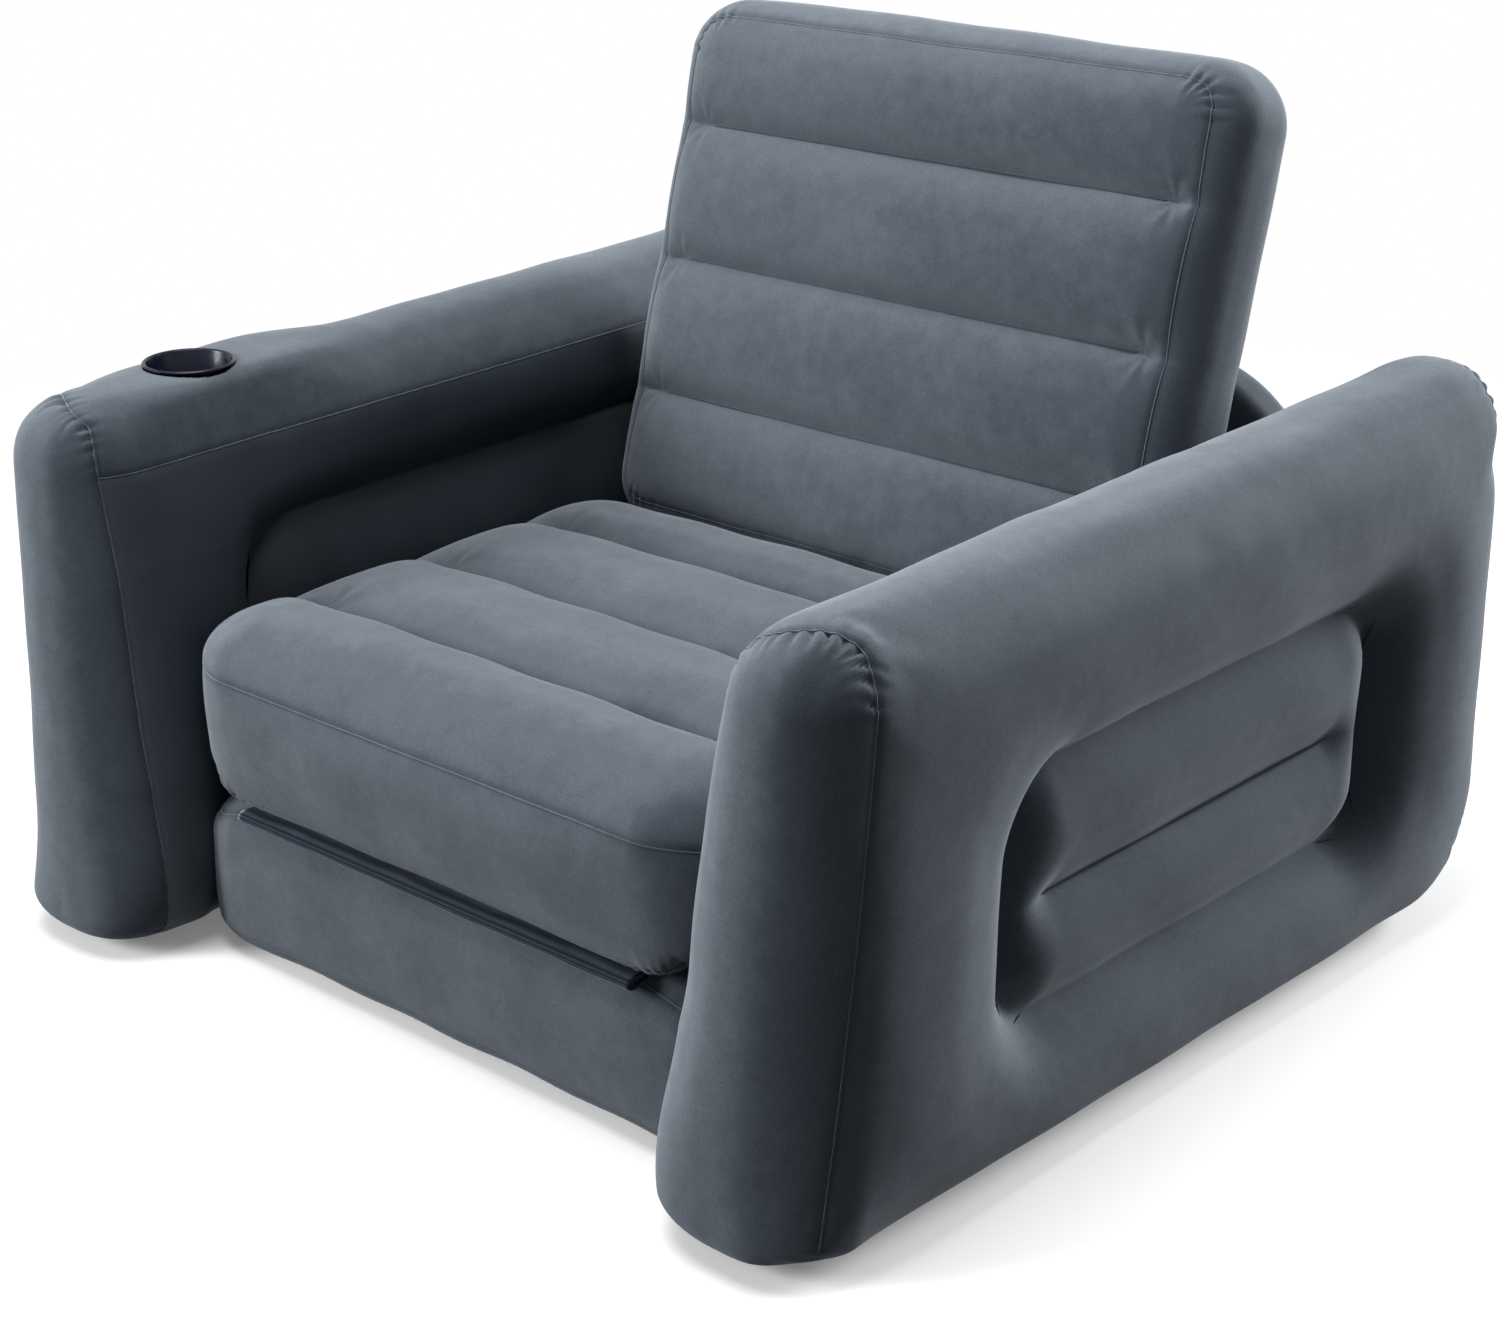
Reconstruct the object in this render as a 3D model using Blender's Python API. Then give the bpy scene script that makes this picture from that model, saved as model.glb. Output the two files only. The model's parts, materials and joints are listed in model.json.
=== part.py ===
"""Inflatable pull-out lounge chair, built sheet by sheet as the real one is welded.

Each air chamber is a closed skin of separate sheets that meet at their welds, with webs inside that
draw the sheets together along the creases. The seat swings forward about a strip at the front of the
base, and the backrest folds flat behind it. Lengths are in metres, +Z is up, the front faces -Y and
the floor is at zero.
"""

import math

import bmesh
import bpy
from mathutils import Matrix, Vector

# Overall sizes
chair_width = 1.170
chair_depth = 1.155

# Material thicknesses and clearances
sheet_thickness = 0.0006
web_thickness = 0.0005
strip_thickness = 0.0010
weld_gap = 0.0003
web_clearance = 0.0006
strip_end_gap = 0.0006
cut_overrun = 0.015

# Arms
arm_front_height = 0.596
arm_rear_rise = 0.028
arm_foot_thickness = 0.190
arm_top_thickness = 0.134
arm_straight_height = 0.200
arm_front_round = 0.090
arm_rear_round = 0.070
arm_sole_round = 0.045
arm_crown_round = 0.070
arm_lean = 0.040
arm_rear_lean_fade = 0.280
arm_edge_power = 2.6

# Recessed panel in the sides of each arm, measured from the ends, the sole and the top
recess_front = 0.300
recess_rear_setback = 0.250
recess_bottom = 0.142
recess_top_drop = 0.208
recess_corner = 0.050
recess_shoulder = 0.055
recess_puff_width = 0.055
outer_weld_depth = 0.036
outer_crest_depth = 0.012
outer_crease_depth = 0.028
inner_weld_depth = 0.028
inner_crest_depth = 0.010
inner_crease_depth = 0.020
inner_recess_lead = 0.075
inner_recess_rise = 0.040

# Base pad and rear wall
hinge_setback = 0.105
base_front_inset = 0.010
base_height = 0.1975
base_edge_round = 0.060
base_sole_round = 0.045
base_crown_round = 0.033
base_crease_depth = 0.022
wall_depth = 0.165
wall_rear_inset = 0.014
wall_height = 0.585
wall_edge_round = 0.064
wall_corner_round = 0.160
wall_crown_round = 0.120
wall_crease_drop = 0.285
wall_crease_depth = 0.016

# Seat cushion, measured from its hinge line at the front
seat_side_gap = 0.005
seat_rear_setback = 0.425
seat_thickness = 0.196
seat_side_round = 0.090
seat_end_round = 0.075
seat_crown_round = 0.062
seat_sole_round = 0.050
seat_crown_drop = 0.006
first_crease_share = 0.24
crease_pitch_share = 0.2768
seat_crease_depth = 0.022
sole_crease_depth = 0.012

# Backrest, measured from its hinge line along and across its face
back_side_gap = 0.007
back_length = 0.632
back_thickness = 0.158
back_side_round = 0.070
back_end_round = 0.066
back_face_round = 0.062
back_crown_drop = 0.006
back_first_crease = 0.168
back_crease_pitch = 0.157
back_crease_depth = 0.018
back_rear_crease_depth = 0.012
back_face_lead = 0.022
back_lean = math.radians(16)

# Hinge strips
strip_end_inset = 0.105
back_hinge_reach = 0.006
strip_axis_gap = 0.0012
back_strip_axis_gap = 0.00045

# Cup holder in the top of the left arm
cup_radius = 0.046
cup_foot_radius = 0.039
cup_depth = 0.085
cup_wall = 0.0016
cup_rim_width = 0.0065
cup_rim_thickness = 0.0020
cup_setback = 0.250
cup_flat_reach = 0.060
cup_flat_fade = 0.060
cup_flat_power = 6.0
cup_hole_clearance = 0.0010

# Inflation valves
valve_flange_radius = 0.0215
valve_flange_thickness = 0.0015
valve_tube_radius = 0.0125
valve_tube_wall = 0.0015
valve_tube_length = 0.014
valve_fit = 0.0004
flap_thickness = 0.0006
stopper_plate_radius = 0.0165
stopper_plate_thickness = 0.0015
stopper_plug_length = 0.009
stopper_bore_radius = 0.0050
cap_radius = 0.0085
cap_thickness = 0.0012
cap_plug_length = 0.0040
cap_hinge_offset = 0.0125
cap_strap_width = 0.0050
frame_valve_drop = 0.145
frame_valve_inset = 0.195
back_valve_drop = 0.132

# Shares, counts and angles
panel_crease_share = 0.47
side_mark_share = 0.33
channel_shares = (0.25, 0.5, 0.75)
least_corner_share = 0.5
arm_panel_cells = 3
seat_crease_count = 3
base_crease_count = 4
back_crease_count = 3
valve_sides = 20
cup_sides = 36
smooth_angle = math.radians(40)

# Places worked out from the sizes above
front = -chair_depth / 2
rear = chair_depth / 2
arm_outer_x = chair_width / 2
arm_inner_x = arm_outer_x - arm_foot_thickness
arm_rear_height = arm_front_height + arm_rear_rise
hinge_line = front + hinge_setback
base_front = hinge_line + base_front_inset
wall_front = rear - wall_depth
wall_crease_height = wall_height - wall_crease_drop
recess_rear = chair_depth - recess_rear_setback
recess_top = arm_front_height - recess_top_drop
recess_middle_y = front + (recess_front + recess_rear) / 2
recess_crease = recess_bottom + (recess_top - recess_bottom) * panel_crease_share
hinge_height = base_height + weld_gap / 2
seat_seam_height = seat_thickness - seat_crown_round
seat_half_width = arm_inner_x - seat_side_gap
back_half_width = arm_inner_x - back_side_gap
strip_half_width = arm_inner_x - strip_end_inset
seat_length = chair_depth - hinge_setback - seat_rear_setback
first_crease = seat_length * first_crease_share
crease_pitch = seat_length * crease_pitch_share
seat_creases = [first_crease + crease_pitch * n for n in range(seat_crease_count)]
base_creases = [first_crease - base_front_inset + crease_pitch * n for n in range(base_crease_count)]
back_creases = [back_first_crease + back_crease_pitch * n for n in range(back_crease_count)]
cup_x = -(arm_outer_x - arm_top_thickness / 2)
unturned = (0.0, 0.0, 0.0)


def colour(red, green, blue):
    """sRGB bytes as a linear RGBA colour."""
    linear = [((c / 255 + 0.055) / 1.055) ** 2.4 for c in (red, green, blue)]
    return (*linear, 1.0)


def material(name, rgba, roughness):
    made = bpy.data.materials.new(name)
    made.use_nodes = True
    shader = made.node_tree.nodes["Principled BSDF"]
    shader.inputs["Base Color"].default_value = rgba
    shader.inputs["Roughness"].default_value = roughness
    shader.inputs["Metallic"].default_value = 0.0
    return made


def clear_scene():
    for obj in list(bpy.data.objects):
        bpy.data.objects.remove(obj)


def empty(name, location, rotation, parent):
    """An empty that carries a group of pieces, placed and turned against its parent."""
    made = bpy.data.objects.new(name, None)
    made.location = location
    made.rotation_euler = rotation
    made.parent = parent
    bpy.context.scene.collection.objects.link(made)
    return made


def finished(name, shape, surface, parent):
    """Turns a bmesh into a named object with smooth round faces."""
    mesh = bpy.data.meshes.new(name)
    shape.to_mesh(mesh)
    shape.free()
    mesh.shade_smooth()
    mesh.set_sharp_from_angle(angle=smooth_angle)
    mesh.materials.append(surface)
    made = bpy.data.objects.new(name, mesh)
    made.parent = parent
    bpy.context.scene.collection.objects.link(made)
    return made


class Axis:
    """The lattice lines of a chamber along one axis.

    Each line holds the centre that its rounding turns about, and how far round it is: -1 at the low
    face, 0 all along the flat middle, 1 at the high face.
    """

    def __init__(self, low, high, low_round, high_round, marks=(), low_steps=2, high_steps=2):
        middle = sorted({low + low_round, *marks, high - high_round})
        self.lines = [(low + low_round, -1 + step / low_steps, low_round) for step in range(low_steps)]
        self.lines += [(mark, 0.0, high_round) for mark in middle]
        self.lines += [
            (high - high_round, step / high_steps, high_round) for step in range(1, high_steps + 1)
        ]
        self.low_steps = low_steps
        self.high_steps = high_steps
        self.cells = len(self.lines) - 1

    def line_at(self, place):
        """Number of the flat line nearest to a place."""
        flat = [n for n, line in enumerate(self.lines) if line[1] == 0.0]
        return min(flat, key=lambda n: abs(self.lines[n][0] - place))


class Chamber:
    """A rounded block of air with a lattice of points on its skin.

    shape moves a point, given its place and its outward direction. sheet_of names the sheet that a
    face of the skin belongs to, from the side it lies on and its cell along each axis.
    """

    def __init__(self, x_axis, y_axis, z_axis, shape, sheet_of, mirrored=False):
        self.axes = (x_axis, y_axis, z_axis)
        self.points = {}
        self.faces = []
        for side_axis in range(3):
            for at_high in (False, True):
                self.add_side(side_axis, at_high, sheet_of)
        for key in self.points:
            self.points[key] = shape(*self.rounded(key))
        self.faces = [(self.split_short(corners), owner) for corners, owner in self.faces]
        if mirrored:
            self.faces = [(corners[:1] + corners[:0:-1], owner) for corners, owner in self.faces]
        self.normals = self.find_normals()

    def rounded(self, key):
        """Place and outward direction of a lattice point, before shaping."""
        lines = [axis.lines[n] for axis, n in zip(self.axes, key)]
        direction = Vector([math.tan(turn * math.pi / 4) for _, turn, _ in lines]).normalized()
        place = Vector([centre + reach * part for (centre, _, reach), part in zip(lines, direction)])
        return place, direction

    def add_side(self, side_axis, at_high, sheet_of):
        first, second = [n for n in range(3) if n != side_axis]
        level = self.axes[side_axis].cells if at_high else 0
        for a in range(self.axes[first].cells):
            for b in range(self.axes[second].cells):
                corners = []
                for step_a, step_b in ((0, 0), (1, 0), (1, 1), (0, 1)):
                    key = [0, 0, 0]
                    key[side_axis] = level
                    key[first] = a + step_a
                    key[second] = b + step_b
                    corners.append(tuple(key))
                    self.points.setdefault(tuple(key), None)
                if at_high == (side_axis == 1):
                    corners.reverse()
                cell = [0, 0, 0]
                cell[side_axis] = level
                cell[first] = a
                cell[second] = b
                self.faces.append((corners, sheet_of(side_axis, at_high, cell)))

    def split_short(self, corners):
        """The corners of a face turned so that it is split in triangles along its shorter diagonal."""
        a, b, c, d = [self.points[key] for key in corners]
        shorter = (d - b).length < (c - a).length - weld_gap
        return corners[1:] + corners[:1] if shorter else corners

    def find_normals(self):
        normals = {key: Vector() for key in self.points}
        for corners, _ in self.faces:
            a, b, c, d = [self.points[key] for key in corners]
            turned = (c - a).cross(d - b)
            for key in corners:
                normals[key] += turned
        return {key: normal.normalized() for key, normal in normals.items()}

    def inward(self, key, depth):
        return self.points[key] - self.normals[key] * depth

    def low_end_at(self, height):
        """Y of the skin of the low end at a height, along the middle of the chamber."""
        middle = self.axes[0].cells // 2
        ends = [self.points[(middle, 0, n)] for n in range(self.axes[2].cells + 1)]
        low, high = [(a, b) for a, b in zip(ends, ends[1:]) if a.z <= height][-1]
        return low.y + (high.y - low.y) * (height - low.z) / (high.z - low.z)

    def sheet(self, name):
        """One sheet as a closed thin solid, drawn in from its welds by half a gap."""
        faces = [corners for corners, owner in self.faces if owner == name]
        drawn_in = self.weld_shifts(faces)
        shape = bmesh.new()
        outside = {}
        inside = {}
        for key in {key for corners in faces for key in corners}:
            shift = drawn_in.get(key, Vector())
            outside[key] = shape.verts.new(self.points[key] + shift)
            inside[key] = shape.verts.new(self.inward(key, sheet_thickness) + shift)
        for corners in faces:
            for half in (corners[:3], corners[2:] + corners[:1]):
                shape.faces.new([outside[key] for key in half])
                shape.faces.new([inside[key] for key in reversed(half)])
        for start, end in border_edges(faces):
            shape.faces.new([outside[end], outside[start], inside[start], inside[end]])
        bmesh.ops.recalc_face_normals(shape, faces=shape.faces)
        return shape

    def weld_shifts(self, faces):
        """How far each border point of a sheet moves into the sheet, to leave the gap at the weld."""
        inner_sum = {}
        tangents = {}
        for corners in faces:
            middle = sum((self.points[key] for key in corners), Vector()) / len(corners)
            for key in corners:
                inner_sum[key] = inner_sum.get(key, Vector()) + (middle - self.points[key])
        for start, end in border_edges(faces):
            along = (self.points[end] - self.points[start]).normalized()
            for key in (start, end):
                tangents.setdefault(key, []).append(along)
        shifts = {}
        for key, lines in tangents.items():
            pull = Vector()
            for along in lines:
                across = self.normals[key].cross(along)
                pull += across if across.dot(inner_sum[key]) > 0 else -across
            spread = pull.normalized()
            least = min(abs(spread.dot(self.normals[key].cross(along).normalized())) for along in lines)
            shifts[key] = spread * (weld_gap / 2) / max(least, least_corner_share)
        return shifts


def border_edges(faces):
    """The directed edges that only one of the faces uses."""
    edges = set()
    for corners in faces:
        for n, key in enumerate(corners):
            edges.add((key, corners[(n + 1) % len(corners)]))
    return [(a, b) for a, b in edges if (b, a) not in edges]


def plate(outline, offset):
    """A thin closed plate from an outline and the offset from its one face to its other."""
    shape = bmesh.new()
    near = [shape.verts.new(point - offset / 2) for point in outline]
    far = [shape.verts.new(point + offset / 2) for point in outline]
    shape.faces.new(near)
    shape.faces.new(list(reversed(far)))
    for n, point in enumerate(near):
        after = (n + 1) % len(near)
        shape.faces.new([near[after], point, far[n], far[after]])
    bmesh.ops.recalc_face_normals(shape, faces=shape.faces)
    return shape


def fade(distance, width):
    """0 at no distance, 1 from width on, with a soft start and end."""
    share = min(max(distance / width, 0.0), 1.0)
    return share * share * (3 - 2 * share)


def channel_marks(creases, first_crest, last_crest):
    """Lattice lines over a row of channels: each crease, and the points that round each channel."""
    marks = [first_crest, (first_crest + creases[0]) / 2, *creases]
    for low, high in zip(creases, creases[1:]):
        marks += [low + (high - low) * share for share in channel_shares]
    marks += [(creases[-1] + last_crest) / 2, last_crest]
    return marks


def channel_depth(place, creases, first_crest, last_crest):
    """Share of the crease depth at a place: 1 on a crease and 0 on each crest."""
    crests = [first_crest, *[(low + high) / 2 for low, high in zip(creases, creases[1:])], last_crest]
    for number, crease in enumerate(creases):
        low, high = crests[number], crests[number + 1]
        if low <= place <= crease:
            return ((place - low) / (crease - low)) ** 2
        if crease <= place <= high:
            return ((high - place) / (high - crease)) ** 2
    return 0.0


def crease_web(chamber, line, inset_lines):
    """The web inside a cushion that ties its top and bottom sheets together along one crease."""
    x_axis, _, z_axis = chamber.axes
    columns = range(inset_lines, x_axis.cells - inset_lines + 1)
    clear = sheet_thickness + web_clearance
    low = [chamber.points[(n, line, 0)] + Vector((0.0, 0.0, clear)) for n in columns]
    high = [chamber.points[(n, line, z_axis.cells)] - Vector((0.0, 0.0, clear)) for n in columns]
    return plate(low + list(reversed(high)), Vector((0.0, web_thickness, 0.0)))


def strip_plate(start, end, half_width):
    """A flat strip across the chair between two lines, given by their places in the Y-Z plane."""
    run = (end - start).normalized()
    across = Vector((0.0, -run.z, run.y)) * strip_thickness
    side = Vector((half_width, 0.0, 0.0))
    return plate([start - side, start + side, end + side, end - side], across)


def turned(profile, sides):
    """A ring or a disc turned about Z from a closed profile of (radius, height) points."""
    shape = bmesh.new()
    rings = []
    for radius, height in profile:
        if radius == 0:
            rings.append([shape.verts.new((0.0, 0.0, height))] * sides)
            continue
        ring = []
        for n in range(sides):
            angle = 2 * math.pi * n / sides
            ring.append(shape.verts.new((radius * math.cos(angle), radius * math.sin(angle), height)))
        rings.append(ring)
    for ring, after in zip(rings, rings[1:] + rings[:1]):
        for n in range(sides):
            m = (n + 1) % sides
            corners = list(dict.fromkeys([ring[n], ring[m], after[m], after[n]]))
            if len(corners) > 2:
                shape.faces.new(corners)
    bmesh.ops.recalc_face_normals(shape, faces=shape.faces)
    return shape


def cut_round(target, place, direction, radius, solver="EXACT"):
    """Cuts a round hole through a sheet, for a valve or the cup holder."""
    shape = bmesh.new()
    turn = Vector((0.0, 0.0, 1.0)).rotation_difference(direction).to_matrix().to_4x4()
    bmesh.ops.create_cone(
        shape,
        cap_ends=True,
        segments=cup_sides,
        radius1=radius,
        radius2=radius,
        depth=2 * cut_overrun,
        matrix=Matrix.Translation(place) @ turn,
    )
    cutter = finished(target.name + "_hole_cutter", shape, target.data.materials[0], target.parent)
    cutter.hide_render = True
    cutter.display_type = "WIRE"
    hole = target.modifiers.new("hole", "BOOLEAN")
    hole.operation = "DIFFERENCE"
    hole.solver = solver
    hole.object = cutter


def arm_inner_place(height):
    """X of the inner side of the right arm at a height: upright at the foot, then leaning out."""
    top_x = arm_outer_x - arm_top_thickness
    leaning = max(height - arm_straight_height, 0.0)
    return arm_inner_x + (top_x - arm_inner_x) * leaning / (arm_front_height - arm_straight_height)


def arm_height_at(y):
    """Height of the top of an arm at a place along the chair."""
    return arm_front_height + (arm_rear_height - arm_front_height) * (y - front) / chair_depth


def weld_distance(y, z):
    """Distance of a point of an arm's side from the recess weld: positive on the panel."""
    half_y = (recess_rear - recess_front) / 2
    half_z = (recess_top - recess_bottom) / 2
    beyond_y = abs(y - recess_middle_y) - half_y + recess_corner
    beyond_z = abs(z - (recess_bottom + half_z)) - half_z + recess_corner
    outside = math.hypot(max(beyond_y, 0.0), max(beyond_z, 0.0))
    return recess_corner - outside - min(max(beyond_y, beyond_z), 0.0)


def recess_depth(y, z, weld_depth, crest_depth, crease_depth):
    """How deep an arm's side lies at a point: the ring falls to the weld and the panel puffs inside it."""
    distance = weld_distance(y, z)
    if distance <= 0:
        return weld_depth * max(1 + distance / recess_shoulder, 0.0) ** 2
    from_weld = max(1 - distance / recess_puff_width, 0.0) ** 2
    from_crease = max(1 - abs(z - recess_crease) / recess_puff_width, 0.0) ** 2
    return crest_depth + (weld_depth - crest_depth) * from_weld + (crease_depth - crest_depth) * from_crease


def tent(value, low, peak, high):
    """1 at the peak, falling straight to 0 at low and high."""
    if value <= peak:
        return max((value - low) / (peak - low), 0.0)
    return max((high - value) / (high - peak), 0.0)


def cup_flatness(y):
    """1 where the top of the left arm is held flat round the cup holder, 0 away from it."""
    beyond = abs(y - (front + cup_setback)) - cup_flat_reach
    return 1 - fade(beyond, cup_flat_fade)


def squarer_shift(direction, radii, power):
    """How far a point of a round edge moves out, to lie on a squarer curve than a circle."""
    reach = sum(abs(part) ** power for part in direction) ** (1 / power)
    return Vector([radius * part for radius, part in zip(radii, direction)]) * (1 / reach - 1)


def shape_arm(place, direction, side):
    """Leans, tapers and recesses a point of an arm. side is 1 for the right arm, -1 for the left."""
    flatness = cup_flatness(place.y) if side < 0 and direction.z > 0 else 0.0
    power = arm_edge_power + (cup_flat_power - arm_edge_power) * flatness
    end_round = arm_front_round if direction.y < 0 else arm_rear_round
    level_round = arm_crown_round if direction.z > 0 else arm_sole_round
    radii = (arm_foot_thickness / 2, end_round, level_round)
    x, y, z = place + squarer_shift(direction, radii, power)
    from_rear = (rear - y) / chair_depth
    stretch = arm_height_at(y) / arm_front_height
    inner = arm_inner_place(z)
    share = (arm_outer_x - x) / arm_foot_thickness
    x = arm_outer_x - share * (arm_outer_x - inner)
    if direction.x > 0:
        x -= direction.x ** 2 * recess_depth(y, z, outer_weld_depth, outer_crest_depth, outer_crease_depth)
    elif direction.x < 0:
        x += direction.x ** 2 * recess_depth(y, z, inner_weld_depth, inner_crest_depth, inner_crease_depth)
        lead = tent(y, front + arm_front_round, front + recess_front, recess_middle_y)
        rise = tent(z, recess_crease, recess_top, arm_front_height - arm_crown_round)
        y -= inner_recess_lead * lead
        z += inner_recess_rise * rise
    leaning = max(z - arm_sole_round, 0.0) / (arm_front_height - arm_sole_round)
    y += arm_lean * fade(from_rear, arm_rear_lean_fade) * leaning
    return Vector((side * x, y, z * stretch))


def arm_sheet(side_axis, at_high, cell, z_axis):
    """Sheets of an arm: the outer one goes over the top, and one band goes round the ends and sole."""
    if side_axis == 2 and at_high:
        return "outer_sheet"
    over_the_top = cell[2] >= z_axis.cells - z_axis.high_steps
    if side_axis != 0 or (cell[1] == 0 and not over_the_top):
        return "end_band"
    if at_high or over_the_top:
        return "outer_sheet"
    return "inner_sheet"


def arm_chamber(side):
    panel_front = front + recess_front + recess_puff_width
    panel_rear = front + recess_rear - recess_puff_width
    panel_step = (panel_rear - panel_front) / arm_panel_cells
    y_marks = [front + recess_front - recess_shoulder, front + recess_front]
    y_marks += [panel_front + panel_step * n for n in range(arm_panel_cells + 1)]
    y_marks += [front + recess_rear, front + recess_rear + recess_shoulder]
    low_crest = (recess_bottom + recess_crease) / 2
    high_crest = (recess_top + recess_crease) / 2
    z_marks = [recess_bottom, low_crest, recess_crease, high_crest, recess_top]
    z_marks.append(recess_top + recess_shoulder)
    half = arm_foot_thickness / 2
    x_axis = Axis(arm_inner_x, arm_outer_x, half, half)
    y_axis = Axis(front, rear, arm_front_round, arm_rear_round, y_marks, high_steps=1)
    z_axis = Axis(0.0, arm_front_height, arm_sole_round, arm_crown_round, z_marks, low_steps=1)

    def sheet_of(side_axis, at_high, cell):
        return arm_sheet(side_axis, at_high, cell, z_axis)

    def shape(place, direction):
        return shape_arm(place, direction, side)

    return Chamber(x_axis, y_axis, z_axis, shape, sheet_of, mirrored=side < 0)


def recess_lines(arm):
    """Numbers of the lattice lines that the recess weld follows: front, rear, bottom and top."""
    _, y_axis, z_axis = arm.axes
    across = [y_axis.line_at(front + place) for place in (recess_front, recess_rear)]
    up = [z_axis.line_at(place) for place in (recess_bottom, recess_top)]
    return (*across, *up)


def recess_web(arm):
    """The loop of film inside an arm that ties the two sides together round the recess."""
    x_axis = arm.axes[0]
    left, right, low, high = recess_lines(arm)
    loop = [(n, low) for n in range(left, right)]
    loop += [(right, n) for n in range(low, high)]
    loop += [(n, high) for n in range(right, left, -1)]
    loop += [(left, n) for n in range(high, low, -1)]
    clear = sheet_thickness + web_clearance
    shape = bmesh.new()
    rings = []
    for inset in (0.0, web_thickness):
        for level in (0, x_axis.cells):
            rings.append([web_corner(arm, level, key, loop, clear, inset, shape) for key in loop])
    outer_low, outer_high, inner_low, inner_high = rings
    faces = ((outer_low, outer_high), (inner_low, inner_high))
    edges = ((outer_low, inner_low), (outer_high, inner_high))
    for first, second in faces + edges:
        for n in range(len(loop)):
            m = (n + 1) % len(loop)
            shape.faces.new([first[n], first[m], second[m], second[n]])
    bmesh.ops.recalc_face_normals(shape, faces=shape.faces)
    return shape


def web_corner(arm, level, key, loop, clear, inset, shape):
    """A point of the recess web: on its loop, clear of the sheet, and moved in by its thickness."""
    place = arm.inward((level, *key), clear)
    ys = [n for n, _ in loop]
    zs = [n for _, n in loop]
    if key[0] == min(ys):
        place.y += inset
    if key[0] == max(ys):
        place.y -= inset
    if key[1] == min(zs):
        place.z += inset
    if key[1] == max(zs):
        place.z -= inset
    return shape.verts.new(place)


def panel_web(arm):
    """The flat web behind the crease of an arm's panels."""
    x_axis, _, z_axis = arm.axes
    left, right, _, _ = recess_lines(arm)
    level = z_axis.line_at(recess_crease)
    clear = sheet_thickness + web_clearance
    ring_clear = web_thickness + weld_gap
    outline = []
    for side, order in ((0, range(left, right + 1)), (x_axis.cells, range(right, left - 1, -1))):
        for n in order:
            place = arm.inward((side, n, level), clear)
            if n == left:
                place.y += ring_clear
            if n == right:
                place.y -= ring_clear
            outline.append(place)
    return plate(outline, Vector((0.0, 0.0, web_thickness)))


def build_arm(name, side, flock, vinyl, film, parent):
    arm = arm_chamber(side)
    outer = finished(name + "_outer_sheet", arm.sheet("outer_sheet"), flock, parent)
    finished(name + "_end_band", arm.sheet("end_band"), flock, parent)
    finished(name + "_inner_sheet", arm.sheet("inner_sheet"), vinyl, parent)
    finished(name + "_recess_web", recess_web(arm), film, parent)
    finished(name + "_panel_web", panel_web(arm), film, parent)
    return outer


def band_sheets(top_name, band_name, bottom_name, z_axis, rows_down):
    """Sheet names of a cushion whose top sheet comes rows_down cells down its sides."""

    def sheet_of(side_axis, at_high, cell):
        if side_axis == 2:
            return top_name if at_high else bottom_name
        if cell[2] >= z_axis.cells - rows_down:
            return top_name
        return band_name

    return sheet_of


def inset_sheets(front_name, band_name, rear_name, x_axis, y_axis):
    """Sheet names of a cushion whose band comes one cell onto its front and rear."""

    def sheet_of(side_axis, at_high, cell):
        if side_axis != 2:
            return band_name
        if cell[0] in (0, x_axis.cells - 1) or cell[1] in (0, y_axis.cells - 1):
            return band_name
        return front_name if at_high else rear_name

    return sheet_of


def build_base(flock, film, parent):
    half_width = arm_inner_x - weld_gap
    length = wall_front - base_front - weld_gap
    crests = (base_edge_round, length - base_edge_round)
    x_axis = Axis(-half_width, half_width, base_edge_round, base_edge_round)
    y_axis = Axis(0.0, length, crests[0], base_edge_round, channel_marks(base_creases, *crests), 2, 1)
    z_axis = Axis(0.0, base_height, base_sole_round, base_crown_round, (), 2, 2)

    def shape_base(place, direction):
        depth = base_crease_depth * channel_depth(place.y, base_creases, *crests)
        place.z -= max(direction.z, 0.0) ** 2 * depth
        return place

    sheet_of = band_sheets("top", "band", "bottom", z_axis, z_axis.high_steps)
    base = Chamber(x_axis, y_axis, z_axis, shape_base, sheet_of)
    carrier = empty("base_place", (0.0, base_front, 0.0), unturned, parent)
    finished("base_top_sheet", base.sheet("top"), flock, carrier)
    finished("base_side_band", base.sheet("band"), flock, carrier)
    finished("base_bottom_sheet", base.sheet("bottom"), film, carrier)
    for number, crease in enumerate(base_creases, 1):
        web = crease_web(base, y_axis.line_at(crease), x_axis.low_steps)
        finished(f"base_web_{number}", web, film, carrier)
    weld = base.points[(x_axis.low_steps, 0, z_axis.cells)]
    axis = Vector((0.0, -base_front_inset, hinge_height))
    strip = hinge_fin(Vector((0.0, weld.y, weld.z)), axis)
    finished("base_hinge_strip", strip, film, carrier)


def hinge_fin(weld, axis):
    """A strip from just off a cushion's weld to just short of the hinge line."""
    run = (axis - weld).normalized()
    return strip_plate(weld + run * strip_end_gap, axis - run * strip_axis_gap, strip_half_width)


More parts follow.
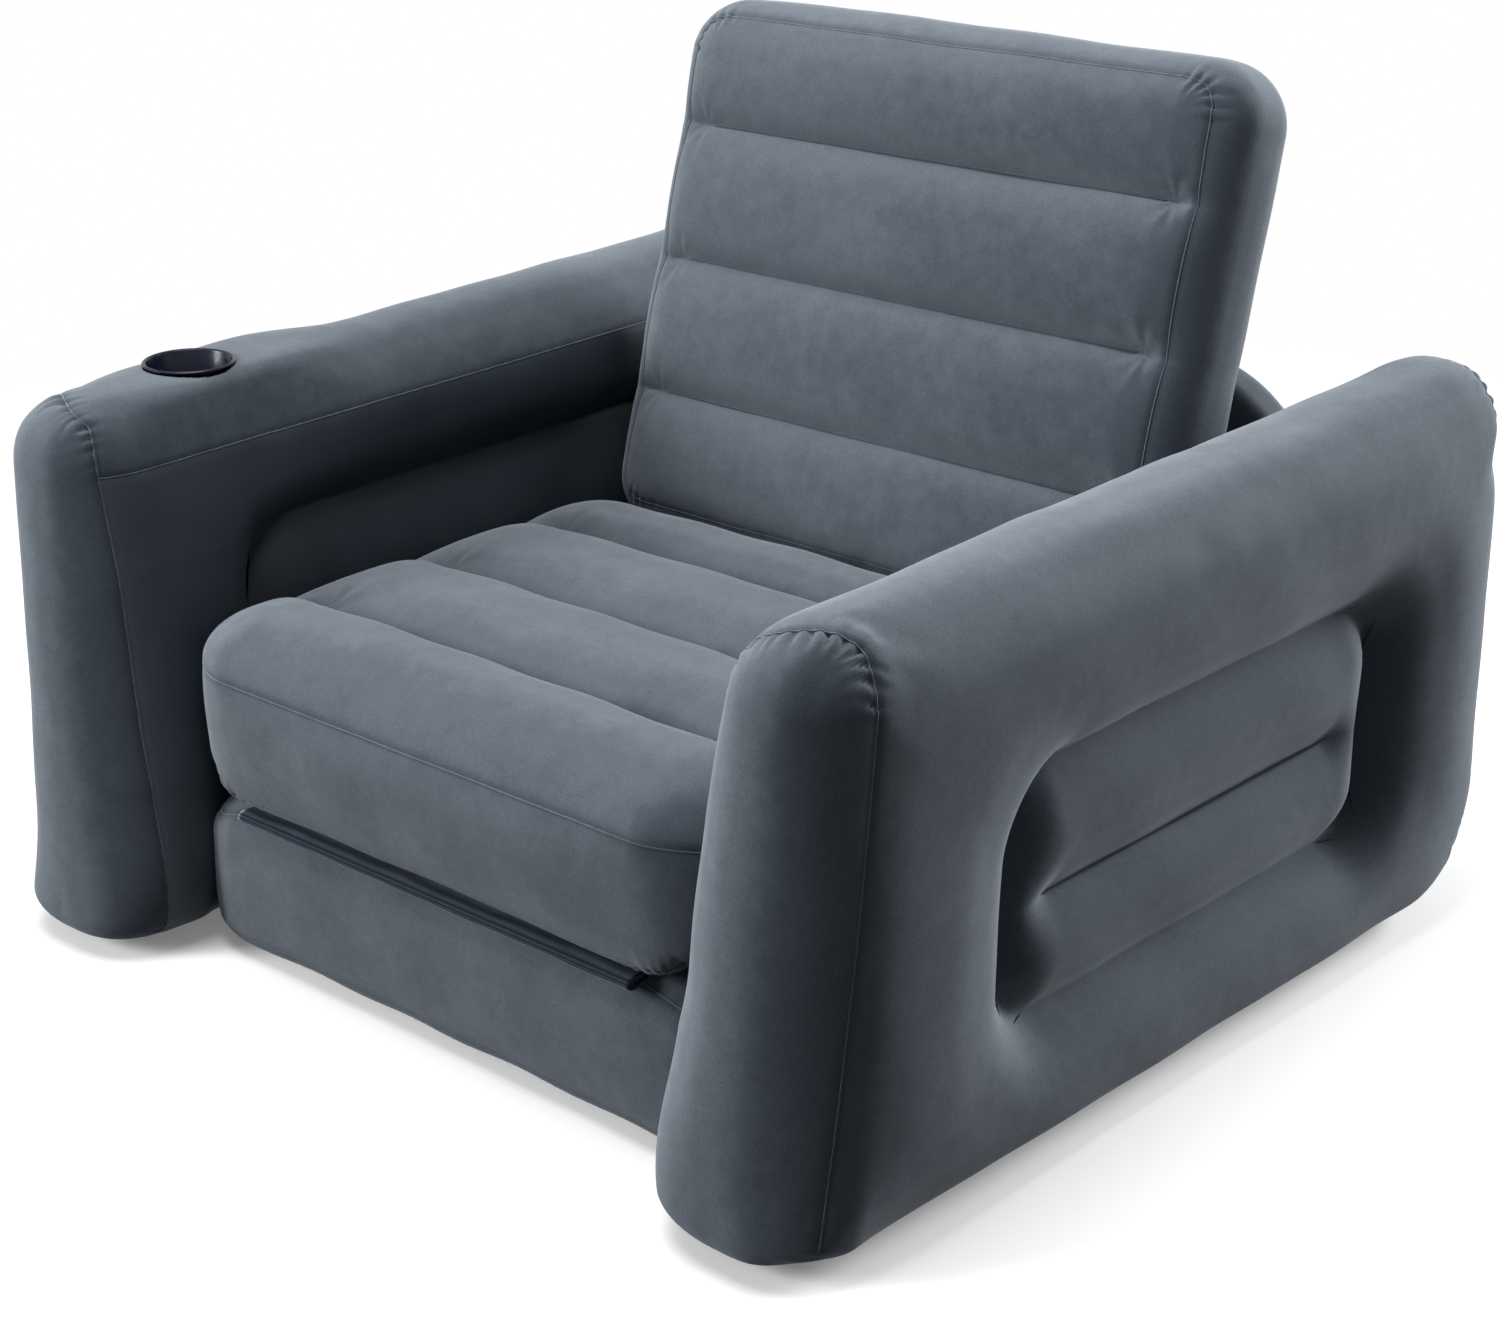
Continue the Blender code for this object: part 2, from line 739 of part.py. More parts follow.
def build_wall(flock, film, parent):
    half_width = arm_inner_x - weld_gap
    wall_rear = rear - wall_rear_inset
    half = (wall_rear - wall_front) / 2
    lowest = wall_edge_round
    highest = wall_height - wall_crown_round
    marks = ((lowest + wall_crease_height) / 2, wall_crease_height, (highest + wall_crease_height) / 2)
    x_axis = Axis(-half_width, half_width, wall_corner_round, wall_corner_round, (0.0,))
    y_axis = Axis(wall_front, wall_rear, wall_edge_round, wall_edge_round, (wall_front + half,))
    z_axis = Axis(0.0, wall_height, lowest, wall_crown_round, marks, 1, 2)

    def shape_wall(place, direction):
        depth = wall_crease_depth * channel_depth(place.z, [wall_crease_height], lowest, highest)
        place.y += max(-direction.y, 0.0) ** 2 * depth
        return place

    def sheet_of(side_axis, at_high, cell):
        if side_axis != 1:
            return "band"
        if cell[0] in (0, x_axis.cells - 1) or cell[2] == z_axis.cells - 1:
            return "band"
        return "rear" if at_high else "front"

    wall = Chamber(x_axis, y_axis, z_axis, shape_wall, sheet_of)
    finished("rear_wall_front_sheet", wall.sheet("front"), flock, parent)
    finished("rear_wall_band", wall.sheet("band"), flock, parent)
    rear_sheet = finished("rear_wall_rear_sheet", wall.sheet("rear"), flock, parent)
    line = z_axis.line_at(wall_crease_height)
    clear = Vector((0.0, sheet_thickness + web_clearance, 0.0))
    columns = range(x_axis.low_steps, x_axis.cells - x_axis.high_steps + 1)
    near = [wall.points[(n, 0, line)] + clear for n in columns]
    far = [wall.points[(n, y_axis.cells, line)] - clear for n in columns]
    web = plate(near + list(reversed(far)), Vector((0.0, 0.0, web_thickness)))
    finished("rear_wall_web", web, film, parent)
    return rear_sheet


def build_seat(flock, film, parent):
    carrier = empty("seat_axis", (0.0, hinge_line, hinge_height), unturned, parent)
    sole = weld_gap / 2
    crests = (seat_end_round, seat_length - seat_end_round)
    side_mark = (seat_half_width - seat_side_round) * side_mark_share
    marks = (-side_mark, side_mark)
    x_axis = Axis(-seat_half_width, seat_half_width, seat_side_round, seat_side_round, marks)
    y_axis = Axis(0.0, seat_length, seat_end_round, seat_end_round, channel_marks(seat_creases, *crests))
    z_axis = Axis(sole, sole + seat_thickness, seat_sole_round, seat_crown_round)

    def shape_seat(place, direction):
        share = channel_depth(place.y, seat_creases, *crests)
        crown = seat_crown_drop * (place.x / seat_half_width) ** 2
        place.z -= max(direction.z, 0.0) ** 2 * (seat_crease_depth * share + crown)
        place.z += max(-direction.z, 0.0) ** 2 * sole_crease_depth * share
        return place

    sheet_of = band_sheets("top", "band", "bottom", z_axis, z_axis.high_steps)
    seat = Chamber(x_axis, y_axis, z_axis, shape_seat, sheet_of)
    finished("seat_top_sheet", seat.sheet("top"), flock, carrier)
    finished("seat_side_band", seat.sheet("band"), flock, carrier)
    finished("seat_bottom_sheet", seat.sheet("bottom"), flock, carrier)
    for number, crease in enumerate(seat_creases, 1):
        web = crease_web(seat, y_axis.line_at(crease), x_axis.low_steps)
        finished(f"seat_web_{number}", web, film, carrier)
    weld = seat.points[(x_axis.low_steps, 0, 0)]
    strip = hinge_fin(Vector((0.0, weld.y, weld.z)), Vector())
    finished("seat_hinge_strip", strip, film, carrier)
    seam = sole + seat_seam_height
    start = Vector((0.0, seat_length + weld_gap, seam))
    end = Vector((0.0, seat_length + back_hinge_reach - back_strip_axis_gap, seam))
    finished("seat_rear_hinge_strip", strip_plate(start, end, strip_half_width), film, carrier)
    tilt = (math.pi / 2 - back_lean, 0.0, 0.0)
    return empty("back_axis", (0.0, seat_length + back_hinge_reach, seam), tilt, carrier)


def build_back(flock, film, plastic, carrier):
    crests = (back_end_round, back_length - back_end_round)
    side_mark = (back_half_width - back_side_round) * side_mark_share
    low = back_face_lead - back_thickness
    marks = (-side_mark, side_mark)
    x_axis = Axis(-back_half_width, back_half_width, back_side_round, back_side_round, marks)
    y_axis = Axis(0.0, back_length, back_end_round, back_end_round, channel_marks(back_creases, *crests))
    z_axis = Axis(low, back_face_lead, back_face_round, back_face_round)

    def shape_back(place, direction):
        share = channel_depth(place.y, back_creases, *crests)
        crown = back_crown_drop * (place.x / back_half_width) ** 2
        place.z -= max(direction.z, 0.0) ** 2 * (back_crease_depth * share + crown)
        place.z += max(-direction.z, 0.0) ** 2 * (back_rear_crease_depth * share + crown)
        return place

    sheet_of = inset_sheets("front", "band", "rear", x_axis, y_axis)
    back = Chamber(x_axis, y_axis, z_axis, shape_back, sheet_of)
    finished("back_front_sheet", back.sheet("front"), flock, carrier)
    band = finished("back_side_band", back.sheet("band"), flock, carrier)
    finished("back_rear_sheet", back.sheet("rear"), flock, carrier)
    for number, crease in enumerate(back_creases, 1):
        web = crease_web(back, y_axis.line_at(crease), x_axis.low_steps)
        finished(f"back_web_{number}", web, film, carrier)
    start = Vector((0.0, back.low_end_at(-strip_thickness / 2) - strip_end_gap, 0.0))
    end = Vector((0.0, back_strip_axis_gap, 0.0))
    finished("back_hinge_strip", strip_plate(start, end, strip_half_width), film, carrier)
    place = Vector((-back_half_width, back_length - back_valve_drop, back_face_lead - back_thickness / 2))
    build_valve("back_valve", place, Vector((-1.0, 0.0, 0.0)), band, plastic, film, carrier)


def build_valve(name, place, direction, sheet, plastic, film, parent):
    """A two-stage valve: a welded body, a plug that pulls out of it, and a cap hinged on the plug."""
    body_bottom = weld_gap
    body_top = body_bottom + valve_flange_thickness
    tube_outside = valve_tube_radius + valve_tube_wall
    turn = Vector((0.0, 0.0, 1.0)).rotation_difference(direction)
    mount = empty(name + "_place", place, turn.to_euler(), parent)
    cut_round(sheet, place, direction, tube_outside + valve_fit)
    body = [
        (valve_tube_radius, -valve_tube_length),
        (tube_outside, -valve_tube_length),
        (tube_outside, body_bottom),
        (valve_flange_radius, body_bottom),
        (valve_flange_radius, body_top),
        (valve_tube_radius, body_top),
    ]
    finished(name + "_body", turned(body, valve_sides), plastic, mount)
    flap_top = -valve_tube_length - weld_gap
    flap = [(0, flap_top - flap_thickness), (valve_tube_radius, flap_top - flap_thickness)]
    flap += [(valve_tube_radius + valve_tube_wall / 2, flap_top), (0, flap_top)]
    finished(name + "_check_flap", turned(flap, valve_sides), film, mount)
    plug_radius = valve_tube_radius - valve_fit
    plate_bottom = body_top + weld_gap
    plate_top = plate_bottom + stopper_plate_thickness
    stopper = [
        (stopper_bore_radius, -stopper_plug_length),
        (plug_radius, -stopper_plug_length),
        (plug_radius, plate_bottom),
        (stopper_plate_radius, plate_bottom),
        (stopper_plate_radius, plate_top),
        (stopper_bore_radius, plate_top),
    ]
    finished(name + "_stopper", turned(stopper, valve_sides), plastic, mount)
    build_valve_cap(name, plate_top, plastic, mount)


def build_valve_cap(name, plate_top, plastic, mount):
    """The cap's origin is on its hinge line, at the edge of the stopper."""
    cap_bottom = plate_top + weld_gap
    cap_top = cap_bottom + cap_thickness
    plug_radius = stopper_bore_radius - valve_fit
    cap = [
        (0, cap_bottom - cap_plug_length),
        (plug_radius, cap_bottom - cap_plug_length),
        (plug_radius, cap_bottom),
        (cap_radius, cap_bottom),
        (cap_radius, cap_top),
        (0, cap_top),
    ]
    hinge = Vector((cap_hinge_offset, 0.0, (cap_bottom + cap_top) / 2))
    shape = turned(cap, valve_sides)
    bmesh.ops.translate(shape, verts=shape.verts, vec=-hinge)
    made = finished(name + "_cap", shape, plastic, mount)
    made.location = hinge
    strap_shape = bmesh.new()
    strap_length = cap_hinge_offset - cap_radius / 2
    bmesh.ops.create_cube(strap_shape, size=1.0)
    size = Vector((strap_length, cap_strap_width, cap_thickness / 2))
    bmesh.ops.scale(strap_shape, verts=strap_shape.verts, vec=size)
    bmesh.ops.translate(strap_shape, verts=strap_shape.verts, vec=Vector((-strap_length / 2, 0.0, 0.0)))
    strap = finished(name + "_cap_strap_cutter", strap_shape, plastic, mount)
    strap.location = hinge
    strap.hide_render = True
    strap.display_type = "WIRE"
    join = made.modifiers.new("strap", "BOOLEAN")
    join.operation = "UNION"
    join.object = strap


def build_cup_holder(outer_sheet, plastic, parent):
    """A moulded cup that drops through the top of the left arm and hangs by its rim."""
    outside = cup_radius + cup_wall
    crest = arm_height_at(front + cup_setback + outside + cup_rim_width)
    rim_bottom = crest + weld_gap
    rim_top = rim_bottom + cup_rim_thickness
    foot_outside = cup_foot_radius + cup_wall
    profile = [
        (0, rim_top - cup_depth - cup_wall),
        (foot_outside, rim_top - cup_depth - cup_wall),
        (outside, rim_bottom),
        (outside + cup_rim_width, rim_bottom),
        (outside + cup_rim_width, rim_top),
        (cup_radius, rim_top),
        (cup_foot_radius, rim_top - cup_depth),
        (0, rim_top - cup_depth),
    ]
    place = Vector((cup_x, front + cup_setback, 0.0))
    cup = finished("cup_holder", turned(profile, cup_sides), plastic, parent)
    cup.location = place
    hole_centre = Vector((place.x, place.y, crest))
    hole_radius = outside + cup_hole_clearance
    # The exact solver loses the whole sheet here, and the manifold one cuts it cleanly.
    cut_round(outer_sheet, hole_centre, Vector((0.0, 0.0, 1.0)), hole_radius, "MANIFOLD")


def build_chair():
    clear_scene()
    flock = material("flocked vinyl", colour(92, 101, 111), 0.85)
    vinyl = material("smooth vinyl", colour(34, 43, 53), 0.45)
    film = material("weld film", colour(48, 56, 66), 0.5)
    plastic = material("moulded plastic", colour(16, 24, 44), 0.25)
    chair = empty("chair", (0.0, 0.0, 0.0), unturned, None)
    left_outer = build_arm("left_arm", -1, flock, vinyl, film, chair)
    build_arm("right_arm", 1, flock, vinyl, film, chair)
    build_cup_holder(left_outer, plastic, chair)
    build_base(flock, film, chair)
    wall_sheet = build_wall(flock, film, chair)
    valve_height = wall_height - frame_valve_drop
    place = Vector((arm_inner_x - frame_valve_inset, rear - wall_rear_inset, valve_height))
    build_valve("frame_valve", place, Vector((0.0, 1.0, 0.0)), wall_sheet, plastic, film, chair)
    back_axis = build_seat(flock, film, chair)
    build_back(flock, film, plastic, back_axis)


build_chair()
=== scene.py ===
"""Looks of the inflatable lounge chair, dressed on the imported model.

Each air chamber gets one smooth skin in place of its flat CAD sheets, blown up by a short cloth
simulation, drawn in at its webs and gathered at its welds. Lengths are in metres, +Z is up and the
front of the chair faces -Y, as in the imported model.
"""

import json
import logging
import math
from dataclasses import dataclass, field
from enum import Enum
from functools import cached_property
from typing import Callable, Optional, Sequence

import bpy
import numpy as np
from mathutils import Matrix, Vector
from mathutils.bvhtree import BVHTree
from mathutils.kdtree import KDTree

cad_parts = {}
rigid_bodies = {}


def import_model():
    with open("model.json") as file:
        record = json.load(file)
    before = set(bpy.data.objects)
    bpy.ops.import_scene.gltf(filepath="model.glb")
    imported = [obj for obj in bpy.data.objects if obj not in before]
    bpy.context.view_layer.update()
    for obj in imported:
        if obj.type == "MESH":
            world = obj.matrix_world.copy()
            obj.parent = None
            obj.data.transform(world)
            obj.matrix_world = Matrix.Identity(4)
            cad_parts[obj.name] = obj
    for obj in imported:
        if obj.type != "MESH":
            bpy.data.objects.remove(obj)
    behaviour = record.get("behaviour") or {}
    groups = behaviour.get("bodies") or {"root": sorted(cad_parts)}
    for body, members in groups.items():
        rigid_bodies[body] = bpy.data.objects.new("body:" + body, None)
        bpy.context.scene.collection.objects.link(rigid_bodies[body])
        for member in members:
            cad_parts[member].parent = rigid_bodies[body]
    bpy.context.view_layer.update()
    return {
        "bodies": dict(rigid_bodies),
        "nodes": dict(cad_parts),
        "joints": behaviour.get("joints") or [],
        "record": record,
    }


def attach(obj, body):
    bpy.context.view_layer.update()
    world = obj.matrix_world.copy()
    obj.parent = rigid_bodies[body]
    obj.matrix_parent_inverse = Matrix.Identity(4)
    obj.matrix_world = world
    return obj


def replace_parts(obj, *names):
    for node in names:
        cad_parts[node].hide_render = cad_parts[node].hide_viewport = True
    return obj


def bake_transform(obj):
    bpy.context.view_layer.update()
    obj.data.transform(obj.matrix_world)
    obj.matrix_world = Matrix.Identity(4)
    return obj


log = logging.getLogger("chair")

Rgb = tuple[int, int, int]
Place = tuple[float, float, float]
Shape = Callable[[np.ndarray, np.ndarray], np.ndarray]
Socket = bpy.types.NodeSocket


class Side(Enum):
    """The two arms, by the sign of their X."""

    LEFT = -1
    RIGHT = 1


class Slot(Enum):
    """The record's material slots."""

    FLOCK = "flocked_vinyl"
    VINYL = "smooth_vinyl"
    FILM = "weld_film"
    PLASTIC = "moulded_plastic"


Look = tuple[bpy.types.Material, Slot]


# Small shared helpers


def smooth(value: np.ndarray, start: float, end: float) -> np.ndarray:
    """0 before start, 1 after end, with a soft rise between them."""
    share = np.clip((value - start) / (end - start), 0.0, 1.0)
    return share * share * (3 - 2 * share)


def hill(value: np.ndarray, width: float) -> np.ndarray:
    """1 where a value is 0, falling away on both sides over a width."""
    return np.exp(-((value / width) ** 2))


def tent(value: np.ndarray, low: float, peak: float, high: float) -> np.ndarray:
    """1 at the peak, falling straight to 0 at low and high."""
    return np.clip(np.minimum((value - low) / (peak - low), (high - value) / (high - peak)), 0, 1)


def belly(place: np.ndarray, low: float, high: float) -> np.ndarray:
    """1 halfway between two ends, falling to 0 at both."""
    return np.clip(1 - ((place - (low + high) / 2) / ((high - low) / 2)) ** 2, 0.0, 1.0)


def unit(rows: np.ndarray) -> np.ndarray:
    """Each row, brought to length 1."""
    return rows / np.maximum(np.linalg.norm(rows, axis=1), 1e-12)[:, None]


def travelled(line: np.ndarray) -> np.ndarray:
    """Distance of each point of a line from its start, along it."""
    return np.concatenate([[0.0], np.cumsum(np.linalg.norm(np.diff(line, axis=0), axis=1))])


def evenly(line: np.ndarray, count: int) -> np.ndarray:
    """A line as a number of points that lie evenly along it."""
    arc = travelled(line)
    places = np.linspace(0, arc[-1], count)
    return np.stack([np.interp(places, arc, column) for column in line.T], axis=1)


def eased(line: np.ndarray, rounds: int, closed: bool = False) -> np.ndarray:
    """A line whose points are averaged with their neighbours.

    Args:
        line: its points. A closed line ends at its first point.
        rounds: how often they are averaged.
        closed: whether the ends move too.

    Returns:
        The new points.
    """
    for _ in range(rounds):
        if closed:
            ring = line[:-1]
            ring = (np.roll(ring, 1, axis=0) + 2 * ring + np.roll(ring, -1, axis=0)) / 4
            line = np.concatenate([ring, ring[:1]])
        else:
            line[1:-1] = (line[:-2] + 2 * line[1:-1] + line[2:]) / 4
    return line


def ripple(points: np.ndarray, wavelength: float, seed: int) -> np.ndarray:
    """Smooth noise from about -1 to 1, as a sum of waves in fixed directions.

    Args:
        points: places, one row each.
        wavelength: the middle wavelength, in metres.
        seed: number that fixes the directions.

    Returns:
        One value for each place.
    """
    rng = np.random.default_rng(seed)
    total = np.zeros(len(points))
    count, shortest, longest = 7, 0.6, 1.7
    for _ in range(count):
        way = rng.normal(size=3)
        way /= np.linalg.norm(way)
        pitch = wavelength * rng.uniform(shortest, longest)
        total += np.sin(points @ way * 2 * math.pi / pitch + rng.uniform(0, 2 * math.pi))
    return total / math.sqrt(count)


def linear(red: int, green: int, blue: int) -> tuple[float, float, float, float]:
    """sRGB bytes as a linear RGBA colour."""
    return (*[((c / 255 + 0.055) / 1.055) ** 2.4 for c in (red, green, blue)], 1.0)


def tree_of(points: np.ndarray) -> KDTree:
    """A tree that finds the nearest of some points."""
    tree = KDTree(len(points))
    for number, point in enumerate(points):
        tree.insert(point, number)
    tree.balance()
    return tree


def mesh_object(name: str, points: np.ndarray, faces: Sequence[Sequence[int]]) -> bpy.types.Object:
    """A smooth mesh object at the origin.

    Args:
        name: the piece's name.
        points: its vertices, one row each.
        faces: its faces, as lists of vertex numbers.

    Returns:
        The object, linked to the scene.
    """
    mesh = bpy.data.meshes.new(name)
    mesh.from_pydata(points.tolist(), [], [list(map(int, face)) for face in faces])
    mesh.validate()
    mesh.shade_smooth()
    made = bpy.data.objects.new(name, mesh)
    bpy.context.scene.collection.objects.link(made)
    return made


def deselect() -> None:
    """Leaves object mode with nothing selected."""
    if bpy.context.mode != "OBJECT":
        bpy.ops.object.mode_set(mode="OBJECT")
    bpy.ops.object.select_all(action="DESELECT")


def apply(piece: bpy.types.Object, kind: str, **settings: object) -> None:
    """Puts a modifier on a piece and applies it.

    Args:
        piece: the piece.
        kind: the modifier's type.
        settings: its settings.
    """
    modifier = piece.modifiers.new(kind.lower(), kind)
    for name, value in settings.items():
        setattr(modifier, name, value)
    bpy.context.view_layer.objects.active = piece
    bpy.ops.object.modifier_apply(modifier=modifier.name)


# Lattice of a rounded block


@dataclass(frozen=True)
class Span:
    """The extent of a rounded block along one axis, and the marks that need their own lattice lines."""

    low: float
    high: float
    low_round: float
    high_round: float
    marks: tuple[float, ...] = ()
    step: float = 0.0065
    round_step: float = 0.0032
    mark_spread: float = 0.0022
    mark_clearance: float = 2.9  # in spreads, between a mark and the next plain line

    @property
    def inner(self) -> tuple[float, float]:
        """Where the round ends stop."""
        return self.low + self.low_round, self.high - self.high_round

    def lines(self, coarseness: float) -> np.ndarray:
        """Places of the lattice lines, closer together over the round ends and at the marks.

        Args:
            coarseness: 1 for the finished skin, more for a lighter copy.

        Returns:
            The places, rising from the low end to the high one.
        """
        low_in, high_in = self.inner
        quarter = math.pi / 4 / (self.round_step * coarseness)
        ends = ((self.low, low_in, self.low_round), (high_in, self.high, self.high_round))
        rows = [np.linspace(a, b, max(3, math.ceil(radius * quarter)) + 1) for a, b, radius in ends]
        if high_in - low_in > self.step / 2:
            count = math.ceil((high_in - low_in) / (self.step * coarseness))
            rows.append(np.linspace(low_in, high_in, count + 1))
        found = np.unique(np.round(np.concatenate(rows), 6))
        fixed = np.array([self.low, low_in, high_in, self.high])
        for mark in self.marks if coarseness == 1.0 else ():
            added = mark + np.arange(-2, 3) * self.mark_spread
            added = added[np.abs(added[:, None] - fixed).min(axis=1) > self.mark_spread / 2]
            stays = np.abs(found - mark) > self.mark_clearance * self.mark_spread
            stays |= np.abs(found[:, None] - fixed).min(axis=1) < 1e-6
            found = np.unique(np.round(np.concatenate([found[stays], added]), 6))
        return found


class Lattice:
    """Points and quads of the skin of a rounded block, by their unrolled place along each axis."""

    def __init__(self, spans: Sequence[Span], coarseness: float = 1.0) -> None:
        """Lays the lattice over the six sides.

        Args:
            spans: the block's extent along X, Y and Z.
            coarseness: 1 for the finished skin, more for a lighter copy.
        """
        self.spans = spans
        lines = [span.lines(coarseness) for span in spans]
        counts = [len(row) for row in lines]
        quads, sides = [], []
        for axis in range(3):
            first, second = [n for n in range(3) if n != axis]
            key = [None, None, None]
            key[first], key[second] = np.meshgrid(
                np.arange(counts[first]), np.arange(counts[second]), indexing="ij"
            )
            for high in (False, True):
                key[axis] = np.full_like(key[first], counts[axis] - 1 if high else 0)
                code = (key[0] * counts[1] + key[1]) * counts[2] + key[2]
                corners = [code[:-1, :-1], code[1:, :-1], code[1:, 1:], code[:-1, 1:]]
                if high == (axis == 1):
                    corners.reverse()
                quads.append(np.stack(corners, axis=-1).reshape(-1, 4))
                sides.append(np.full(len(quads[-1]), 2 * axis + high))
        used, inverse = np.unique(np.concatenate(quads), return_inverse=True)
        self.faces = inverse.reshape(-1, 4)
        self.side = np.concatenate(sides)
        numbers = (used // (counts[1] * counts[2]), used // counts[2] % counts[1], used % counts[2])
        self.unrolled = np.stack([row[n] for row, n in zip(lines, numbers)], axis=1)

    def rounded(self, unrolled: np.ndarray) -> tuple[np.ndarray, np.ndarray]:
        """Place and outward direction of points given by their unrolled places."""
        inner = np.array([span.inner for span in self.spans])
        radii = np.array([(span.low_round, span.high_round) for span in self.spans])
        centre = np.clip(unrolled, inner[:, 0], inner[:, 1])
        reach = np.where(unrolled < inner[:, 0], radii[:, 0], radii[:, 1])
        direction = unit(np.tan((unrolled - centre) / reach * math.pi / 4))
        return centre + reach * direction, direction


@dataclass
class Track:
    """A line along a skin: a weld or a crease."""

    points: np.ndarray
    normals: np.ndarray
    closed: bool


@dataclass(frozen=True)
class Gather:
    """A row of short folds across a weld."""

    centre: float
    half_length: float
    height: float
    pitch: float
    reach: float


class Skin:
    """The outside of one air chamber."""

    knot_step = 0.002
    trace_step = 0.003
    # how much wider than a weld's draw its painted shade spreads
    painted_weld_shade_spread = 1.3
    fold_wander = 0.8
    fold_unevenness = 0.35
    weaker_side = 0.30
    settling_frames = 20
    carriers = 4

    def __init__(
        self,
        spans: Sequence[Span],
        shape: Shape,
        turn: Matrix,
        coarseness: float = 1.0,
        drift: Optional[Callable[[np.ndarray], np.ndarray]] = None,
    ) -> None:
        """Shapes the lattice.

        Args:
            spans: the block's extent along its own axes.
            shape: moves points, given their places and outward directions.
            turn: takes the block's own axes to the chair's.
            coarseness: 1 for the finished skin, more for a lighter copy.
            drift: slides the lattice's lines along the surface, given unrolled places.
        """
        self.lattice = Lattice(spans, coarseness)
        self.shape = shape
        self.drift = drift
        self.turn = np.array(turn)
        self.faces = self.lattice.faces
        self.points = self.placed(self.lattice.unrolled)
        if (self.crosses() * self.points[self.faces].mean(axis=1)).sum() < 0:
            self.faces = self.faces[:, ::-1]
        self.painted_weld_shade = np.zeros(len(self.points))

    def placed(self, unrolled: np.ndarray) -> np.ndarray:
        """Places in the chair's frame of points given by their unrolled places."""
        slid = unrolled if self.drift is None else self.drift(unrolled)
        own = self.shape(*self.lattice.rounded(slid))
        return own @ self.turn[:3, :3].T + self.turn[:3, 3]

    def crosses(self) -> np.ndarray:
        """For each face, its normal at a length that grows with its area."""
        corners = self.points[self.faces]
        return np.cross(corners[:, 2] - corners[:, 0], corners[:, 3] - corners[:, 1])

    def summed(self, values: np.ndarray) -> np.ndarray:
        """For each point, the sum of the values of the faces that meet there."""
        total = np.zeros((len(self.points), *values.shape[1:]))
        for corner in self.faces.T:
            np.add.at(total, corner, values)
        return total

    def normals(self) -> np.ndarray:
        """Unit normals of the points."""
        return unit(self.summed(self.crosses()))

    def push(self, amount: np.ndarray) -> None:
        """Moves each point along its normal."""
        self.points = self.points + self.normals() * amount[:, None]

    def evened(self, field: np.ndarray, rounds: int) -> np.ndarray:
        """A field of values at the points, averaged with their neighbours a number of times."""
        counts = self.summed(np.ones(len(self.faces)))
        for _ in range(rounds):
            field = self.summed(field[self.faces].mean(axis=1)) / counts[:, None]
        return field

    def laid(self, line: np.ndarray, closed: bool) -> Track:
        """A line, laid on the skin as it is now."""
        tree = BVHTree.FromPolygons(self.points.tolist(), self.faces.tolist())
        found = [tree.find_nearest(Vector(point)) for point in line]
        return Track(*[np.array([list(hit[n]) for hit in found]) for n in (0, 1)], closed)

    def trace(self, corners: Sequence[Place], closed: bool = False, soften: int = 20) -> Track:
        """A line on the skin through places given on the unrolled block.

        Args:
            corners: unrolled places that the line passes, in order.
            closed: whether the line returns to its start.
            soften: how often the line is evened, which rounds its corners.

        Returns:
            The line, with a step between its points.
        """
        knots = np.array([*corners, corners[0]] if closed else corners, float)
        rows = []
        for start, end in zip(knots, knots[1:]):
            count = max(2, int(np.linalg.norm(end - start) / self.knot_step))
            rows.append(start + (end - start) * np.linspace(0, 1, count, endpoint=False)[:, None])
        line = self.placed(np.concatenate([*rows, knots[-1:]]))
        line = evenly(line, int(travelled(line)[-1] / self.trace_step) + 1)
        return self.laid(eased(line, soften, closed), closed)

    def weld(
        self,
        track: Track,
        depth: float,
        width: float,
        gathers: Sequence[Gather] = (),
        seed: int = 3,
        fuller: float = 0,
    ) -> None:
        """Draws the skin in along a weld, gathers it in short folds and records a painted shade along it.

        Args:
            track: the weld.
            depth: how far the skin is drawn in.
            width: how far to each side the draw is felt.
            gathers: rows of folds across the weld.
            seed: number that fixes how uneven the folds are.
            fuller: the sign of the Y on whose side the folds are strong, or 0 for both sides.
        """
        tree = tree_of(track.points)
        hits = [tree.find(point) for point in self.points]
        nearest = np.array([hit[1] for hit in hits])
        distance = np.array([hit[2] for hit in hits])
        offset = self.points - track.points[nearest]
        past = (offset * unit(np.gradient(track.points, axis=0))[nearest]).sum(axis=1)
        along = travelled(track.points)[nearest] + past
        # painted shade: the colour is darkened along the weld, where shade falls
        self.painted_weld_shade += hill(distance, self.painted_weld_shade_spread * width)
        amount = -depth * hill(distance, width)
        wander = self.fold_wander * ripple(self.points, 0.045, seed)
        uneven = 1 + self.fold_unevenness * ripple(self.points, 0.06, seed + 1)
        if fuller:
            beyond = smooth(offset[:, 1] * fuller, -0.002, 0.003)
            uneven *= self.weaker_side + (1 - self.weaker_side) * beyond
        for gather in gathers:
            across = np.exp(-((distance / gather.reach) ** 1.6))
            reach = np.exp(-(((along - gather.centre) / gather.half_length) ** 4))
            puffs = np.abs(np.sin(math.pi * along / gather.pitch + wander)) ** 0.8
            amount += gather.height * uneven * across * reach * (puffs - 0.75)
        self.push(amount)

    def fan(self, centre: np.ndarray, count: int, reach: float, height: float, seed: int) -> None:
        """Short wrinkles that radiate from a point, as at the end of a crease.

        Args:
            centre: the point.
            count: how many wrinkles there are.
            reach: how far from the point they are strongest.
            height: how high they stand there.
            seed: number that fixes where the first one lies.
        """
        offset = self.points - centre
        distance = np.linalg.norm(offset, axis=1)
        nearest = self.normals()[distance.argmin()]
        side = np.cross(nearest, [0.0, 0.3, 1.0])
        side /= np.linalg.norm(side)
        angle = np.arctan2(offset @ np.cross(nearest, side), offset @ side)
        share = distance / reach
        ring = share * np.exp(1 - share * 1.6) * (distance < 4 * reach)
        phase = np.random.default_rng(seed).uniform(0, 2 * math.pi)
        self.push(height * ring * np.cos(count * angle + phase))

